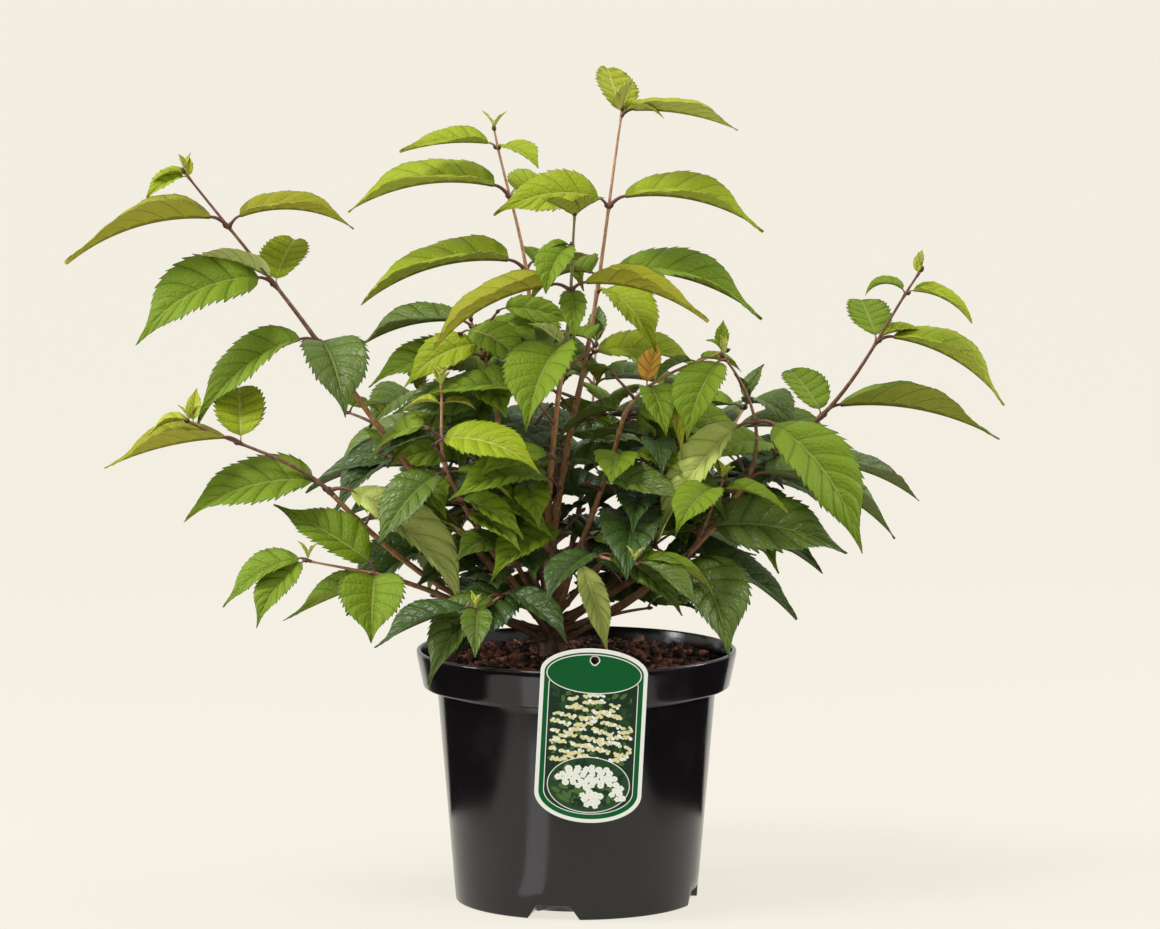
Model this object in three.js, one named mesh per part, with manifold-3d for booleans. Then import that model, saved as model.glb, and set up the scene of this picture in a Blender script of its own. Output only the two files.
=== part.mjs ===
// A young snowball viburnum, a shrub with opposite, toothed leaves and no blossom yet,
// growing in a round nursery pot that carries a care label on its rim.
// Millimetres, +Z up. The origin is the middle of the pot's flat underside. The label faces -Y.

import * as THREE from "three";
import { mergeVertices } from "three/addons/utils/BufferGeometryUtils.js";
import Module from "manifold-3d";

const wasm = await Module();
wasm.setup();

// ---- Driving dimensions ----------------------------------------------------------------------

const GAP = 0.3; // left open between pieces that touch on the real plant

const POT = {
  height: 150,
  sides: 40,
  footRadius: 72,
  shoulderRadius: 82.7, // the body just under the collar
  collarHeight: 22,
  collarFootRadius: 91,
  rimRadius: 95,
  lip: 3, // upright band at the very top of the collar
  wall: 1.8,
  lipWall: 2.4,
  floor: 2.4,
};
POT.collarFoot = POT.height - POT.collarHeight;

// Drainage channels moulded up into the floor, open through the foot of the wall.
const DRAIN = {
  count: 4,
  firstAngle: -101, // degrees round from +X
  footWidth: 31,
  headWidth: 20,
  height: 8,
  innerRadius: 48,
  reach: 90, // radius that the cut runs out to, past the wall
};

const SOIL = { level: 139, edgeLevel: 136.5, flatRadius: 55 };

const LABEL = {
  width: 62,
  height: 102,
  thickness: 0.8,
  centreX: 8.4,
  foot: 62,
  lean: 3, // degrees, its head to the right
  crown: 14, // height of the curve that rounds its head
  heel: 17.5, // and of the one that rounds its foot
  holeRadius: 2.4,
  holeDrop: 7,
  tongueWidth: 22,
  tongueReach: 11, // down the inside of the rim
  tongueBatter: 3.4, // how far it leans in with the collar's slope
};

// The short woody stock between the soil and the first forks.
const TRUNK = {
  foot: [-12, 2, SOIL.level + GAP],
  tip: [-17, 0, 171],
  sides: 10,
  steps: 6,
  footRadius: 10,
  neckRadius: 5.6,
  headRadius: 7,
  flare: 0.28, // share of the height over which the root flare dies away
  headTaper: 0.75, // of the head's radius, at the very top
  dome: 2, // height of the rounded top over that
};

const LIMB = { sides: 5, steps: 5 };
const STEM = { sides: 4, steps: 3, tipRadius: 0.8 };
const FORK = 0.97; // share of a bough's length where a second shoot leaves it

const LEAF = {
  stalk: 0.13, // length of the stalk, as a share of the blade's
  stalkRadius: 0.9,
  stalkRise: 28, // degrees that the stalk rises more steeply than the blade's foot
  width: 0.5, // of the blade's length
  thickness: 0.024, // at the midrib, of the blade's length
  fold: 15, // degrees that each half rises from the midrib
  droop: 48, // degrees that the midrib turns down from foot to tip
  facing: 22, // degrees that a blade leans its face towards the light in front
  stations: [0.14, 0.45, 0.78], // sections across a full-grown blade, as shares of its length
  youngStations: [0.28, 0.7], // and across a blade shorter than `young`
  young: 48,
  clearance: 0.5, // kept to every other piece
  turns: [0, 14, -14, 28, -28, 42, -42], // tried in this order before a leaf is left off
};

const COLOURS = { plastic: 0x17181a, soil: 0x3a2519, label: 0x0b6a35, bark: 0x7d5d43, leaf: 0x4f7f2c };
const ROUGHNESS = { plastic: 0.28, soil: 0.95, label: 0.35, bark: 0.85, leaf: 0.6 };

// ---- The shrub's habit -----------------------------------------------------------------------
// A bough runs from the trunk, a share `foot` of the way up it, or goes on from the tip of the
// bough it is `on`. Its middle stands off the straight line by `bow`.

const BOUGHS = [
  { name: "leader", foot: 0.95, tip: [1, 13, 300], bow: [-3, 0, 0], radii: [2.3, 1.8] },
  { name: "left_leader", foot: 0.9, tip: [-28, 45, 342], bow: [-4, 8, 0], radii: [2.2, 1.5] },
  { name: "centre", foot: 0.9, tip: [-7, -35, 328], bow: [-4, -6, 0], radii: [2.2, 1.5] },
  { name: "left_upper", foot: 0.85, tip: [-150, -20, 332], bow: [10, 0, -22], radii: [2.3, 1.5] },
  { name: "right_outer", foot: 0.8, tip: [122, 25, 264], bow: [0, 6, -12], radii: [2.3, 1.8] },
  { name: "right_upper", on: "right_outer", tip: [142, 20, 283], radii: [1.7, 1.5] },
  { name: "right_middle", foot: 0.62, tip: [97, -30, 249], bow: [6, 0, -12], radii: [2.3, 1.6] },
  { name: "left_middle", foot: 0.65, tip: [-142, -40, 246], bow: [0, 0, -14], radii: [2.1, 1.5] },
  { name: "left_low", foot: 0.4, tip: [-102, -50, 197], bow: [0, 0, 2], radii: [1.9, 1.4] },
  { name: "right_low", foot: 0.4, tip: [60, -35, 205], bow: [0, 0, -4], radii: [1.9, 1.4] },
  { name: "left_inner", foot: 0.9, tip: [-74, -42, 256], bow: [0, 0, -8], radii: [1.8, 1.3] },
  { name: "left_high", foot: 1, tip: [-48, 2, 298], bow: [-4, 0, -4], radii: [1.9, 1.4] },
  { name: "right_inner", foot: 1, tip: [27, -16, 287], bow: [2, -2, -4], radii: [1.9, 1.4] },
  { name: "left_core", foot: 0.75, tip: [-48, 12, 222], radii: [1.8, 1.4] },
  { name: "right_core", foot: 0.8, tip: [32, -18, 224], radii: [1.8, 1.4] },
  { name: "left_front", foot: 0.5, tip: [-32, -40, 187], radii: [1.8, 1.4] },
  { name: "right_front", foot: 0.5, tip: [-2, -44, 206], radii: [1.8, 1.4] },
  { name: "back_left", foot: 0.7, tip: [-72, 72, 236], bow: [0, 0, -8], radii: [2, 1.5] },
  { name: "back", foot: 0.8, tip: [6, 88, 248], bow: [0, 0, -10], radii: [2.1, 1.5] },
  { name: "back_right", foot: 0.7, tip: [70, 80, 232], bow: [0, 0, -8], radii: [2, 1.5] },
  { name: "back_low", foot: 0.4, tip: [-12, 78, 184], bow: [0, 0, 4], radii: [1.8, 1.4] },
  { name: "left_side", foot: 0.6, tip: [-62, 44, 200], bow: [0, 0, 2], radii: [1.8, 1.4] },
  { name: "right_side", foot: 0.6, tip: [60, 46, 206], bow: [0, 0, 0], radii: [1.8, 1.4] },
];

// A shoot goes on from its bough's tip to its apex. Each node is a share of its length and the
// leaves there, each leaf [heading, lift, length, droop, facing, width] in degrees, millimetres
// and a share of the length: heading 0 is to the right, 90 to the back.
const SHOOTS = [
  {
    name: "leader",
    apex: [27, 22, 468],
    nodes: [
      [0.12, [8, 8, 70, 40, 30], [205, -4, 58, 40]],
      [0.36, [-55, -10, 64]],
      [0.4, [0, 4, 94, 44, 26], [138, 6, 70]],
      [0.66, [2, 8, 88, 44], [192, 16, 66, 50, 42]],
      [0.98, [3, 2, 64, 26, 14], [118, 55, 30, 10, 0, 0.98], [300, 66, 24, 20], [0, 30, 26, 80]],
    ],
  },
  {
    name: "left_leader",
    apex: [-49, 50, 455],
    nodes: [
      [0.25, [180, 6, 96, 46], [35, 6, 74]],
      [0.64, [180, 12, 92, 44], [60, 16, 56]],
      [0.9, [185, 6, 54, 24], [-50, -4, 36, 30, 22, 0.6]],
    ],
  },
  {
    name: "centre",
    apex: [-1, -40, 410],
    nodes: [
      [0.04, [248, -16, 70, 50, 0, 0.66], [150, 36, 26, 20]],
      [0.46, [195, -4, 84, 46, 14], [-12, 4, 78, 42, 12], [275, -28, 34, 50]],
      [0.78, [235, -24, 36, 50, 22, 0.7], [200, 0, 20, 30]],
      [0.98, [225, 30, 24, 20, 0, 0.8], [-40, 36, 24, 20, 0, 0.7]],
    ],
  },
  {
    name: "left_upper",
    apex: [-229, -20, 434],
    nodes: [
      [0.02, [190, -16, 80, 46, 28], [-70, -18, 62, 50, 22, 0.66]],
      [0.34, [190, 0, 86, 56, 36, 0.56], [70, 50, 34, 30, 22, 0.85], [172, 30, 44, 26, 0, 0.7]],
      [0.68, [182, 4, 92, 44, 14], [0, 20, 70, 52]],
      [0.97, [180, 10, 28, 90], [200, -14, 26, 30, 30, 0.7], [90, 75, 12, 10]],
    ],
  },
  {
    name: "left_middle",
    apex: [-226, -45, 290],
    nodes: [
      [0.04, [186, 6, 82, 46, 34, 0.55], [-12, -26, 104, 40, 12, 0.34]],
      [0.66, [184, -2, 74, 24, 14], [95, 55, 36, 25, 22, 0.85]],
      [0.97, [80, 70, 20, 20], [180, 10, 26, 60]],
    ],
  },
  {
    name: "left_low",
    apex: [-156, -66, 211],
    nodes: [
      [0.05, [184, -18, 64, 10]],
      [0.3, [268, -34, 46, 36, 0, 0.9], [165, 34, 66, 12, 34, 0.56]],
      [0.97, [182, -12, 54, 42, 30], [212, -30, 48, 40, 30]],
    ],
  },
  {
    name: "right_upper",
    apex: [203, 5, 374],
    nodes: [
      [0.04, [125, 45, 36, 25, 22, 0.75], [0, 6, 100, 36, 10]],
      [0.55, [105, 40, 34, 20, 22, 0.8], [-5, -8, 80, 46, 20], [20, 26, 32, 60]],
      [0.85, [170, 40, 26, 100], [-15, 0, 42, 56]],
      [0.98, [60, 75, 14, 20]],
    ],
  },
  {
    name: "right_middle",
    apex: [86, -35, 327],
    bow: [9, 0, 0],
    nodes: [
      [0.06, [15, -4, 94, 46]],
      [0.52, [203, -36, 84, 32, 0, 0.38], [-31, -28, 96, 46, 36, 0.44]],
      [0.98, [205, -48, 60, 40, 22, 0.36], [230, -36, 54, 40, 22, 0.62]],
    ],
  },
  {
    name: "right_low",
    apex: [86, -58, 258],
    nodes: [
      [0.05, [-64, -20, 74, 50, 22, 0.62], [-12, -14, 70, 34]],
      [0.36, [6, 6, 82, 36, 44, 0.56], [150, -4, 56, 40]],
      [0.85, [215, -4, 56, 40, 30], [-14, 0, 40, 40]],
      [0.97, [120, 56, 16, 30], [300, 46, 16, 30]],
    ],
  },
  {
    name: "right_outer",
    on: "right_outer",
    apex: [136, 4, 256],
    nodes: [[0.9, [8, -4, 74, 34], [215, -12, 58, 40]]],
  },
  {
    name: "left_inner",
    apex: [-79, -42, 312],
    nodes: [
      [0.05, [222, -22, 62, 40, 30], [-10, -6, 44]],
      [0.42, [183, 2, 34], [8, 4, 34]],
      [0.78, [170, 10, 22], [15, 10, 20]],
      [0.96, [120, 56, 16, 20], [300, 50, 14, 20]],
    ],
  },
  {
    name: "left_high",
    apex: [-62, 0, 345],
    nodes: [
      [0.06, [205, -14, 72, 44, 30], [236, -34, 54]],
      [0.5, [180, 0, 66, 36, 34, 0.56], [60, 0, 44, 40]],
      [0.9, [165, 4, 70, 40], [330, 4, 46]],
    ],
  },
  {
    name: "right_inner",
    apex: [87, -20, 329],
    bow: [0, 0, 3],
    nodes: [
      [0.06, [-10, -8, 66, 40, 34], [150, -4, 48]],
      [0.34, [70, 56, 28, 10, 22, 0.55], [-60, -14, 44]],
      [0.75, [20, 6, 28], [200, -4, 26]],
      [0.97, [80, 72, 18, 10], [150, 56, 12, 60]],
    ],
  },
  { name: "left_core", apex: [-72, 6, 268], pairs: 4, size: 80 },
  { name: "right_core", apex: [46, -14, 276], pairs: 4, size: 76 },
  {
    name: "left_front",
    apex: [-58, -86, 184],
    nodes: [
      [0.1, [206, -14, 66, 36, 34, 0.58]],
      [0.5, [222, -26, 68, 40], [320, -10, 52, 40]],
      [0.95, [186, -10, 60, 20], [268, -16, 40, 40]],
    ],
  },
  {
    name: "right_front",
    apex: [34, -88, 212],
    nodes: [
      [0.1, [-58, -52, 58, 16, -10, 0.3]],
      [0.5, [-24, -16, 58, 40, 30], [232, -10, 52, 40]],
      [0.95, [12, -6, 50, 40], [-70, -14, 46, 40]],
    ],
  },
  { name: "back_left", apex: [-96, 110, 290], pairs: 4, size: 90 },
  { name: "back", apex: [12, 138, 318], pairs: 4, size: 92 },
  { name: "back_right", apex: [104, 116, 284], pairs: 4, size: 90 },
  { name: "back_low", apex: [-18, 128, 196], pairs: 3, size: 84 },
  { name: "left_side", apex: [-98, 58, 226], pairs: 3, size: 84 },
  { name: "right_side", apex: [96, 62, 234], pairs: 3, size: 84 },
];

// Where a shoot lists no nodes, its pairs follow this rule: evenly spaced, spread to both sides
// of the shoot and crosswise in turn, largest at the foot, with a small seeded difference each.
const HABIT = { first: 0.08, last: 0.94, spread: [62, 112], lift: 4, shrink: 0.4, sway: 12, youngest: 26 };

// ---- Solids ----------------------------------------------------------------------------------

const vec = (x, y, z) => new THREE.Vector3(x, y, z);
const radians = THREE.MathUtils.degToRad;

// A closed three.js geometry as a manifold-3d solid.
function solidOf(geometry) {
  const bare = geometry.index ? geometry.toNonIndexed() : geometry.clone();
  for (const name of Object.keys(bare.attributes)) {
    if (name !== "position") bare.deleteAttribute(name);
  }
  const welded = mergeVertices(bare, 1e-4);
  return new wasm.Manifold(
    new wasm.Mesh({
      numProp: 3,
      vertProperties: new Float32Array(welded.attributes.position.array),
      triVerts: new Uint32Array(welded.index.array),
    }),
  );
}

// A manifold-3d solid as a named three.js mesh.
function meshOf(name, solid, colour, roughness) {
  const { numProp, vertProperties, triVerts } = solid.getMesh();
  const geometry = new THREE.BufferGeometry();
  geometry.setAttribute("position", new THREE.BufferAttribute(vertProperties, numProp));
  geometry.setIndex(new THREE.BufferAttribute(triVerts, 1));
  geometry.computeVertexNormals();
  const material = new THREE.MeshStandardMaterial({ color: colour, roughness, metalness: 0 });
  const mesh = new THREE.Mesh(geometry, material);
  mesh.name = name;
  return mesh;
}

// A closed skin over rings of points, each counter-clockwise round the way from `start` to `end`.
function skin(start, rings, end) {
  const sides = rings[0].length;
  const points = [start, ...rings.flat(), end];
  const last = points.length - 1;
  const at = (ring, k) => 1 + ring * sides + (k % sides);
  const faces = [];
  for (let k = 0; k < sides; k++) {
    faces.push(0, at(0, k + 1), at(0, k));
    for (let ring = 0; ring < rings.length - 1; ring++) {
      faces.push(at(ring, k), at(ring, k + 1), at(ring + 1, k));
      faces.push(at(ring, k + 1), at(ring + 1, k + 1), at(ring + 1, k));
    }
    faces.push(last, at(rings.length - 1, k), at(rings.length - 1, k + 1));
  }
  const geometry = new THREE.BufferGeometry().setFromPoints(points);
  geometry.setIndex(faces);
  return solidOf(geometry);
}

// A round limb along a curve, with the radius at each share of its length given by `radiusAt`.
function limbSolid(curve, sides, steps, radiusAt) {
  const frames = curve.computeFrenetFrames(steps, false);
  const rings = [];
  for (let i = 0; i <= steps; i++) {
    const centre = curve.getPointAt(i / steps);
    const radius = radiusAt(i / steps);
    const ring = [];
    for (let k = 0; k < sides; k++) {
      const angle = (2 * Math.PI * k) / sides;
      ring.push(
        centre
          .clone()
          .addScaledVector(frames.normals[i], radius * Math.cos(angle))
          .addScaledVector(frames.binormals[i], radius * Math.sin(angle)),
      );
    }
    rings.push(ring);
  }
  return skin(curve.getPointAt(0), rings, curve.getPointAt(1));
}

// ---- Pot, soil and label ---------------------------------------------------------------------

// A solid turned about the pot's axis, from [radius, height] points.
function lathe(profile) {
  const points = profile.map(([radius, height]) => new THREE.Vector2(radius, height));
  return solidOf(new THREE.LatheGeometry(points, POT.sides).rotateX(Math.PI / 2));
}

// A wedge-sided bar lying along +X from `inner` to `outer`, then turned round the pot's axis.
function drainBar(angle, inner, outer, grow) {
  const outline = new THREE.Shape([
    new THREE.Vector2(-DRAIN.footWidth / 2 - grow, -1),
    new THREE.Vector2(DRAIN.footWidth / 2 + grow, -1),
    new THREE.Vector2(DRAIN.headWidth / 2 + grow, DRAIN.height + grow),
    new THREE.Vector2(-DRAIN.headWidth / 2 - grow, DRAIN.height + grow),
  ]);
  const bar = new THREE.ExtrudeGeometry(outline, { depth: outer - inner, bevelEnabled: false });
  bar.rotateX(Math.PI / 2).rotateZ(Math.PI / 2).translate(inner, 0, 0).rotateZ(radians(angle));
  return solidOf(bar);
}

function drainBars(inner, outer, grow) {
  const bars = [];
  for (let i = 0; i < DRAIN.count; i++) {
    bars.push(drainBar(DRAIN.firstAngle + (360 / DRAIN.count) * i, inner, outer, grow));
  }
  return bars.reduce((all, bar) => all.add(bar));
}

function potSolid() {
  const { height, footRadius, shoulderRadius, collarFootRadius, rimRadius } = POT;
  const { lip, wall, lipWall, floor } = POT;
  const shell = lathe([
    [0, 0],
    [footRadius, 0],
    [shoulderRadius, POT.collarFoot - 1],
    [collarFootRadius, POT.collarFoot],
    [rimRadius, height - lip],
    [rimRadius, height],
    [rimRadius - lipWall, height],
    [collarFootRadius - wall, POT.collarFoot + wall],
    [shoulderRadius - wall, POT.collarFoot - 1],
    [footRadius - wall, floor],
    [0, floor],
  ]);
  // The channels' roofs stand in the pot, out to the middle of its wall.
  const top = DRAIN.height + 2 * wall;
  const inside = lathe([
    [0, floor / 2],
    [footRadius - wall / 2, floor / 2],
    [footRadius, top],
    [0, top],
  ]);
  const roofs = drainBars(DRAIN.innerRadius, footRadius, wall).intersect(inside);
  return shell.add(roofs).subtract(drainBars(DRAIN.innerRadius + wall, DRAIN.reach, 0));
}

function soilSolid() {
  const { height, footRadius, shoulderRadius, collarFootRadius, rimRadius, wall, lipWall, floor } = POT;
  const inner = wall + 1.4 * GAP; // a facet's middle lies nearer the axis than its corners
  const ledge = POT.collarFoot + wall + GAP;
  const rise = (SOIL.edgeLevel - ledge) / (height - ledge);
  const collarFoot = collarFootRadius - inner;
  const mouth = rimRadius - lipWall + wall - inner;
  const edgeRadius = THREE.MathUtils.lerp(collarFoot, mouth, rise);
  const fill = lathe([
    [0, floor + GAP],
    [footRadius - inner, floor + GAP],
    [shoulderRadius - inner, POT.collarFoot - 1],
    [collarFoot - GAP, ledge],
    [edgeRadius, SOIL.edgeLevel],
    [SOIL.flatRadius, SOIL.level],
    [0, SOIL.level],
  ]);
  return fill.subtract(drainBars(DRAIN.innerRadius - GAP, DRAIN.reach, wall + GAP));
}

function labelSolid() {
  const { width, height, thickness, crown, heel, holeRadius, holeDrop } = LABEL;
  const { tongueWidth, tongueReach, tongueBatter } = LABEL;
  const outline = new THREE.Shape();
  outline.absellipse(0, height / 2 - crown, width / 2, crown, 0, Math.PI);
  outline.absellipse(0, heel - height / 2, width / 2, heel, Math.PI, 2 * Math.PI);
  const hole = new THREE.Path();
  hole.absarc(0, height / 2 - holeDrop, holeRadius, 0, 2 * Math.PI);
  outline.holes.push(hole);
  const sheet = { depth: thickness, bevelEnabled: false, curveSegments: 14 };
  const plate = new THREE.ExtrudeGeometry(outline, sheet);
  plate.rotateX(Math.PI / 2);
  plate.translate(0, -POT.rimRadius - GAP, 0);
  plate.rotateY(radians(LABEL.lean));
  plate.translate(LABEL.centreX, 0, LABEL.foot + height / 2);

  // The tongue: a strip bent back over the rim and down inside it, clear of the curved lip.
  const front = -POT.rimRadius - GAP - thickness / 2;
  const over = POT.height + GAP;
  const lipDepth = POT.rimRadius - Math.sqrt(POT.rimRadius ** 2 - (LABEL.centreX + tongueWidth / 2) ** 2);
  const back = -POT.rimRadius + lipDepth + POT.lipWall + GAP;
  const bend = new THREE.Shape([
    new THREE.Vector2(front, over),
    new THREE.Vector2(back, over),
    new THREE.Vector2(back + tongueBatter, over - tongueReach),
    new THREE.Vector2(back + tongueBatter + thickness, over - tongueReach),
    new THREE.Vector2(back + thickness, over + thickness),
    new THREE.Vector2(front, over + thickness),
  ]);
  const tongue = new THREE.ExtrudeGeometry(bend, { depth: tongueWidth, bevelEnabled: false });
  tongue.translate(0, 0, LABEL.centreX - tongueWidth / 2);
  tongue.applyMatrix4(new THREE.Matrix4().makeBasis(vec(0, 1, 0), vec(0, 0, 1), vec(1, 0, 0)));
  return solidOf(plate).add(solidOf(tongue));
}

// ---- Trunk, boughs and foliage ---------------------------------------------------------------

// A limb's middle line, from foot to tip, its middle pushed off the straight by `bow`.
function bowed(foot, tip, bow = [0, 0, 0]) {
  const middle = foot.clone().add(tip).multiplyScalar(0.5).addScaledVector(vec(...bow), 2);
  return new THREE.QuadraticBezierCurve3(foot, middle, tip);
}

function trunkRadius(share) {
  const flare = (TRUNK.footRadius - TRUNK.neckRadius) * Math.exp(-share / TRUNK.flare);
  const head = (TRUNK.headRadius - TRUNK.neckRadius) * share ** 3;
  return (TRUNK.neckRadius + flare + head) * (share < 1 ? 1 : TRUNK.headTaper);
}

const trunkCurve = bowed(vec(...TRUNK.foot), vec(...TRUNK.tip));

// The trunk's rings lie level, so its foot is a flat cut on the soil.
function trunkSolid(swell) {
  const { foot, tip, sides, steps, dome } = TRUNK;
  const rings = [];
  for (let i = 0; i <= steps; i++) {
    const centre = trunkCurve.getPoint(i / steps);
    const radius = trunkRadius(i / steps) + swell;
    const ring = [];
    for (let k = 0; k < sides; k++) {
      const angle = (2 * Math.PI * k) / sides;
      ring.push(vec(centre.x + radius * Math.cos(angle), centre.y + radius * Math.sin(angle), centre.z));
    }
    rings.push(ring);
  }
  return skin(vec(...foot), rings, vec(tip[0], tip[1], tip[2] + dome + swell));
}

// Half the blade's width at a share t of its length, as a share of the widest:
// round at the foot, widest a third of the way up and drawn out to a point.
const bladeOutline = (t) => Math.sin(Math.PI * t ** 0.72) ** 0.8 * (1 - 0.35 * t ** 4);

// One leaf on its stalk. Its midrib is an arc in an upright plane.
function leafSolid(root, leaf, turn, swell) {
  const [heading, lift, length, droop = LEAF.droop, facing = LEAF.facing, width = LEAF.width] = leaf;
  const azimuth = radians(heading + turn);
  const out = vec(Math.cos(azimuth), Math.sin(azimuth), 0);
  const across = vec(-Math.sin(azimuth), Math.cos(azimuth), 0);
  const roll = radians(facing) * Math.cos(azimuth);
  const slopeAt = (t) => radians(lift - droop * t);
  const bend = radians(droop);
  const along = (slope) => out.clone().multiplyScalar(Math.cos(slope)).setZ(Math.sin(slope));
  const stalkSlope = slopeAt(0) + radians(LEAF.stalkRise);
  const foot = root.clone().addScaledVector(along(stalkSlope), LEAF.stalk * length);

  const section = (centre, slope, halfWidth, halfThickness, fold) => {
    const forward = along(slope);
    const above = forward.clone().cross(across);
    const side = across.clone().multiplyScalar(Math.cos(roll)).addScaledVector(above, Math.sin(roll));
    const up = above.clone().multiplyScalar(Math.cos(roll)).addScaledVector(across, -Math.sin(roll));
    const edge = (sign) =>
      centre
        .clone()
        .addScaledVector(side, sign * halfWidth * Math.cos(fold))
        .addScaledVector(up, halfWidth * Math.sin(fold));
    return [
      edge(1),
      centre.clone().addScaledVector(up, halfThickness),
      edge(-1),
      centre.clone().addScaledVector(up, -halfThickness),
    ];
  };
  const midrib = (t) => {
    const slope = slopeAt(t);
    const reach = (length / bend) * (Math.sin(slopeAt(0)) - Math.sin(slope));
    const rise = (length / bend) * (Math.cos(slope) - Math.cos(slopeAt(0)));
    return foot.clone().addScaledVector(out, reach).add(vec(0, 0, rise));
  };
  const stalk = LEAF.stalkRadius + swell;
  const rings = [section(root, stalkSlope, stalk, stalk, 0), section(foot, slopeAt(0), stalk, stalk, 0)];
  for (const t of length < LEAF.young ? LEAF.youngStations : LEAF.stations) {
    const halfWidth = (width / 2) * length * bladeOutline(t) + swell;
    const halfThickness = (LEAF.thickness / 2) * length + swell;
    rings.push(section(midrib(t), slopeAt(t), halfWidth, halfThickness, radians(LEAF.fold)));
  }
  return skin(root, rings, midrib(1));
}

const group = new THREE.Group();
const placed = []; // every solid so far, which later leaves keep clear of
function place(name, solid, colour, roughness) {
  group.add(meshOf(name, solid, colour, roughness));
  placed.push({ name, solid });
}

place("pot", potSolid(), COLOURS.plastic, ROUGHNESS.plastic);
place("potting_soil", soilSolid(), COLOURS.soil, ROUGHNESS.soil);
place("care_label", labelSolid(), COLOURS.label, ROUGHNESS.label);
place("trunk", trunkSolid(0), COLOURS.bark, ROUGHNESS.bark);

// True where a solid meets one of the others, whose boxes are compared first.
function touches(solid, others) {
  const a = solid.boundingBox();
  return others.some((other) => {
    const b = other.solid.boundingBox();
    const apart = [0, 1, 2].some((axis) => a.max[axis] < b.min[axis] || b.max[axis] < a.min[axis]);
    return !apart && !solid.intersect(other.solid).isEmpty();
  });
}
const largest = (solid) => solid.decompose().sort((a, b) => b.volume() - a.volume())[0];

// A limb's middle line where it goes on from another's tip: it sets out the way that one ends.
function onward(parent, tip, bow = [0, 0, 0]) {
  const way = parent.getTangent(1);
  const foot = parent.getPoint(1).addScaledVector(way, GAP);
  const third = foot.distanceTo(tip) / 3;
  const before = foot.clone().lerp(tip, 2 / 3).addScaledVector(vec(...bow), 2);
  return new THREE.CubicBezierCurve3(foot, foot.clone().addScaledVector(way, third), before, tip);
}

// The limbs so far, each swollen by the gap, which a limb that starts inside them is cut clear of.
let swollen = trunkSolid(GAP);
const limbs = new Map();
function growLimb(curve, [footRadius, tipRadius], { sides, steps }, cutClear) {
  const radiusAt = (share) => THREE.MathUtils.lerp(footRadius, tipRadius, share);
  const whole = limbSolid(curve, sides, steps, radiusAt);
  const limb = cutClear ? largest(whole.subtract(swollen)) : whole;
  swollen = swollen.add(limbSolid(curve, sides, steps, (share) => radiusAt(share) + 1.2 * GAP));
  return limb;
}

for (const { name, on, foot, tip, bow, radii } of BOUGHS) {
  const end = vec(...tip);
  const curve = on ? onward(limbs.get(on).curve, end, bow) : bowed(trunkCurve.getPoint(foot), end, bow);
  limbs.set(name, { curve, radius: radii[1] });
  place(name + "_bough", growLimb(curve, radii, LIMB, !on), COLOURS.bark, ROUGHNESS.bark);
}

// A repeatable row of numbers from 0 to 1.
function seeded(seed) {
  let state = seed;
  return () => {
    state = (Math.imul(state, 1664525) + 1013904223) >>> 0;
    return state / 2 ** 32;
  };
}

function ruledNodes(curve, pairs, size, seed) {
  const random = seeded(seed);
  const sway = () => HABIT.sway * (2 * random() - 1);
  const way = curve.getPoint(1).sub(curve.getPoint(0));
  const ahead = THREE.MathUtils.radToDeg(Math.atan2(way.y, way.x));
  const nodes = [];
  for (let pair = 0; pair < pairs; pair++) {
    const age = pair / (pairs - 1);
    const spread = HABIT.spread[pair % 2];
    const length = size * (1 - HABIT.shrink * age);
    const leaf = (side) => [ahead + side * spread + sway(), HABIT.lift + sway(), length + sway() / 2];
    nodes.push([THREE.MathUtils.lerp(HABIT.first, HABIT.last, age), leaf(1), leaf(-1)]);
  }
  nodes.push([1, [ahead, 60, HABIT.youngest, 20], [ahead + 180, 65, 0.8 * HABIT.youngest, 20]]);
  return nodes;
}

// Every stem is grown before the first leaf, so that leaves keep clear of all of them. A shoot
// that is `on` another's bough forks off it, and the others go on from their own bough.
const shoots = SHOOTS.map(({ name, on, apex, bow, nodes, pairs, size }, index) => {
  const bough = limbs.get(on ?? name);
  const tip = vec(...apex);
  const curve = on ? bowed(bough.curve.getPoint(FORK), tip, bow) : onward(bough.curve, tip, bow);
  const stem = growLimb(curve, [bough.radius, STEM.tipRadius], STEM, Boolean(on));
  return { name, curve, solid: stem, nodes: nodes ?? ruledNodes(curve, pairs, size, index + 1) };
});

// A leaf that would touch another piece is turned a little, and left off where no turn frees it.
for (const shoot of shoots) {
  const others = [...placed, ...shoots.filter((other) => other !== shoot)];
  for (const [share, ...leaves] of shoot.nodes) {
    const root = shoot.curve.getPoint(share);
    for (const leaf of leaves) {
      const swollenLeaf = (turn) => leafSolid(root, leaf, turn, LEAF.clearance);
      const turn = LEAF.turns.find((angle) => !touches(swollenLeaf(angle), others));
      if (turn !== undefined) shoot.solid = shoot.solid.add(leafSolid(root, leaf, turn, 0));
    }
  }
}
for (const { name, solid } of shoots) place(name + "_foliage", solid, COLOURS.leaf, ROUGHNESS.leaf);

export default group;
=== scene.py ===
# %% [markdown]
# # A young snowball viburnum in its nursery pot
#
# The plant is a shrub of the size that a nursery sells: a short woody stock, two dozen boughs and
# shoots, and opposite pairs of pleated, toothed leaves on reddish stalks. It grows in a round
# black pot with a label hung over the rim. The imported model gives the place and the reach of
# everything. This lesson makes what the eye sees: leaves with veins and teeth, bark with relief,
# soil with chips, moulded plastic and a printed label.
#
# Nearly every shape here is a surface worked out with numpy: a function of two parameters on a
# grid, or a ring carried along a path. That keeps the plant exact, quick to build and easy to
# change, which sculpting by hand would not.

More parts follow.
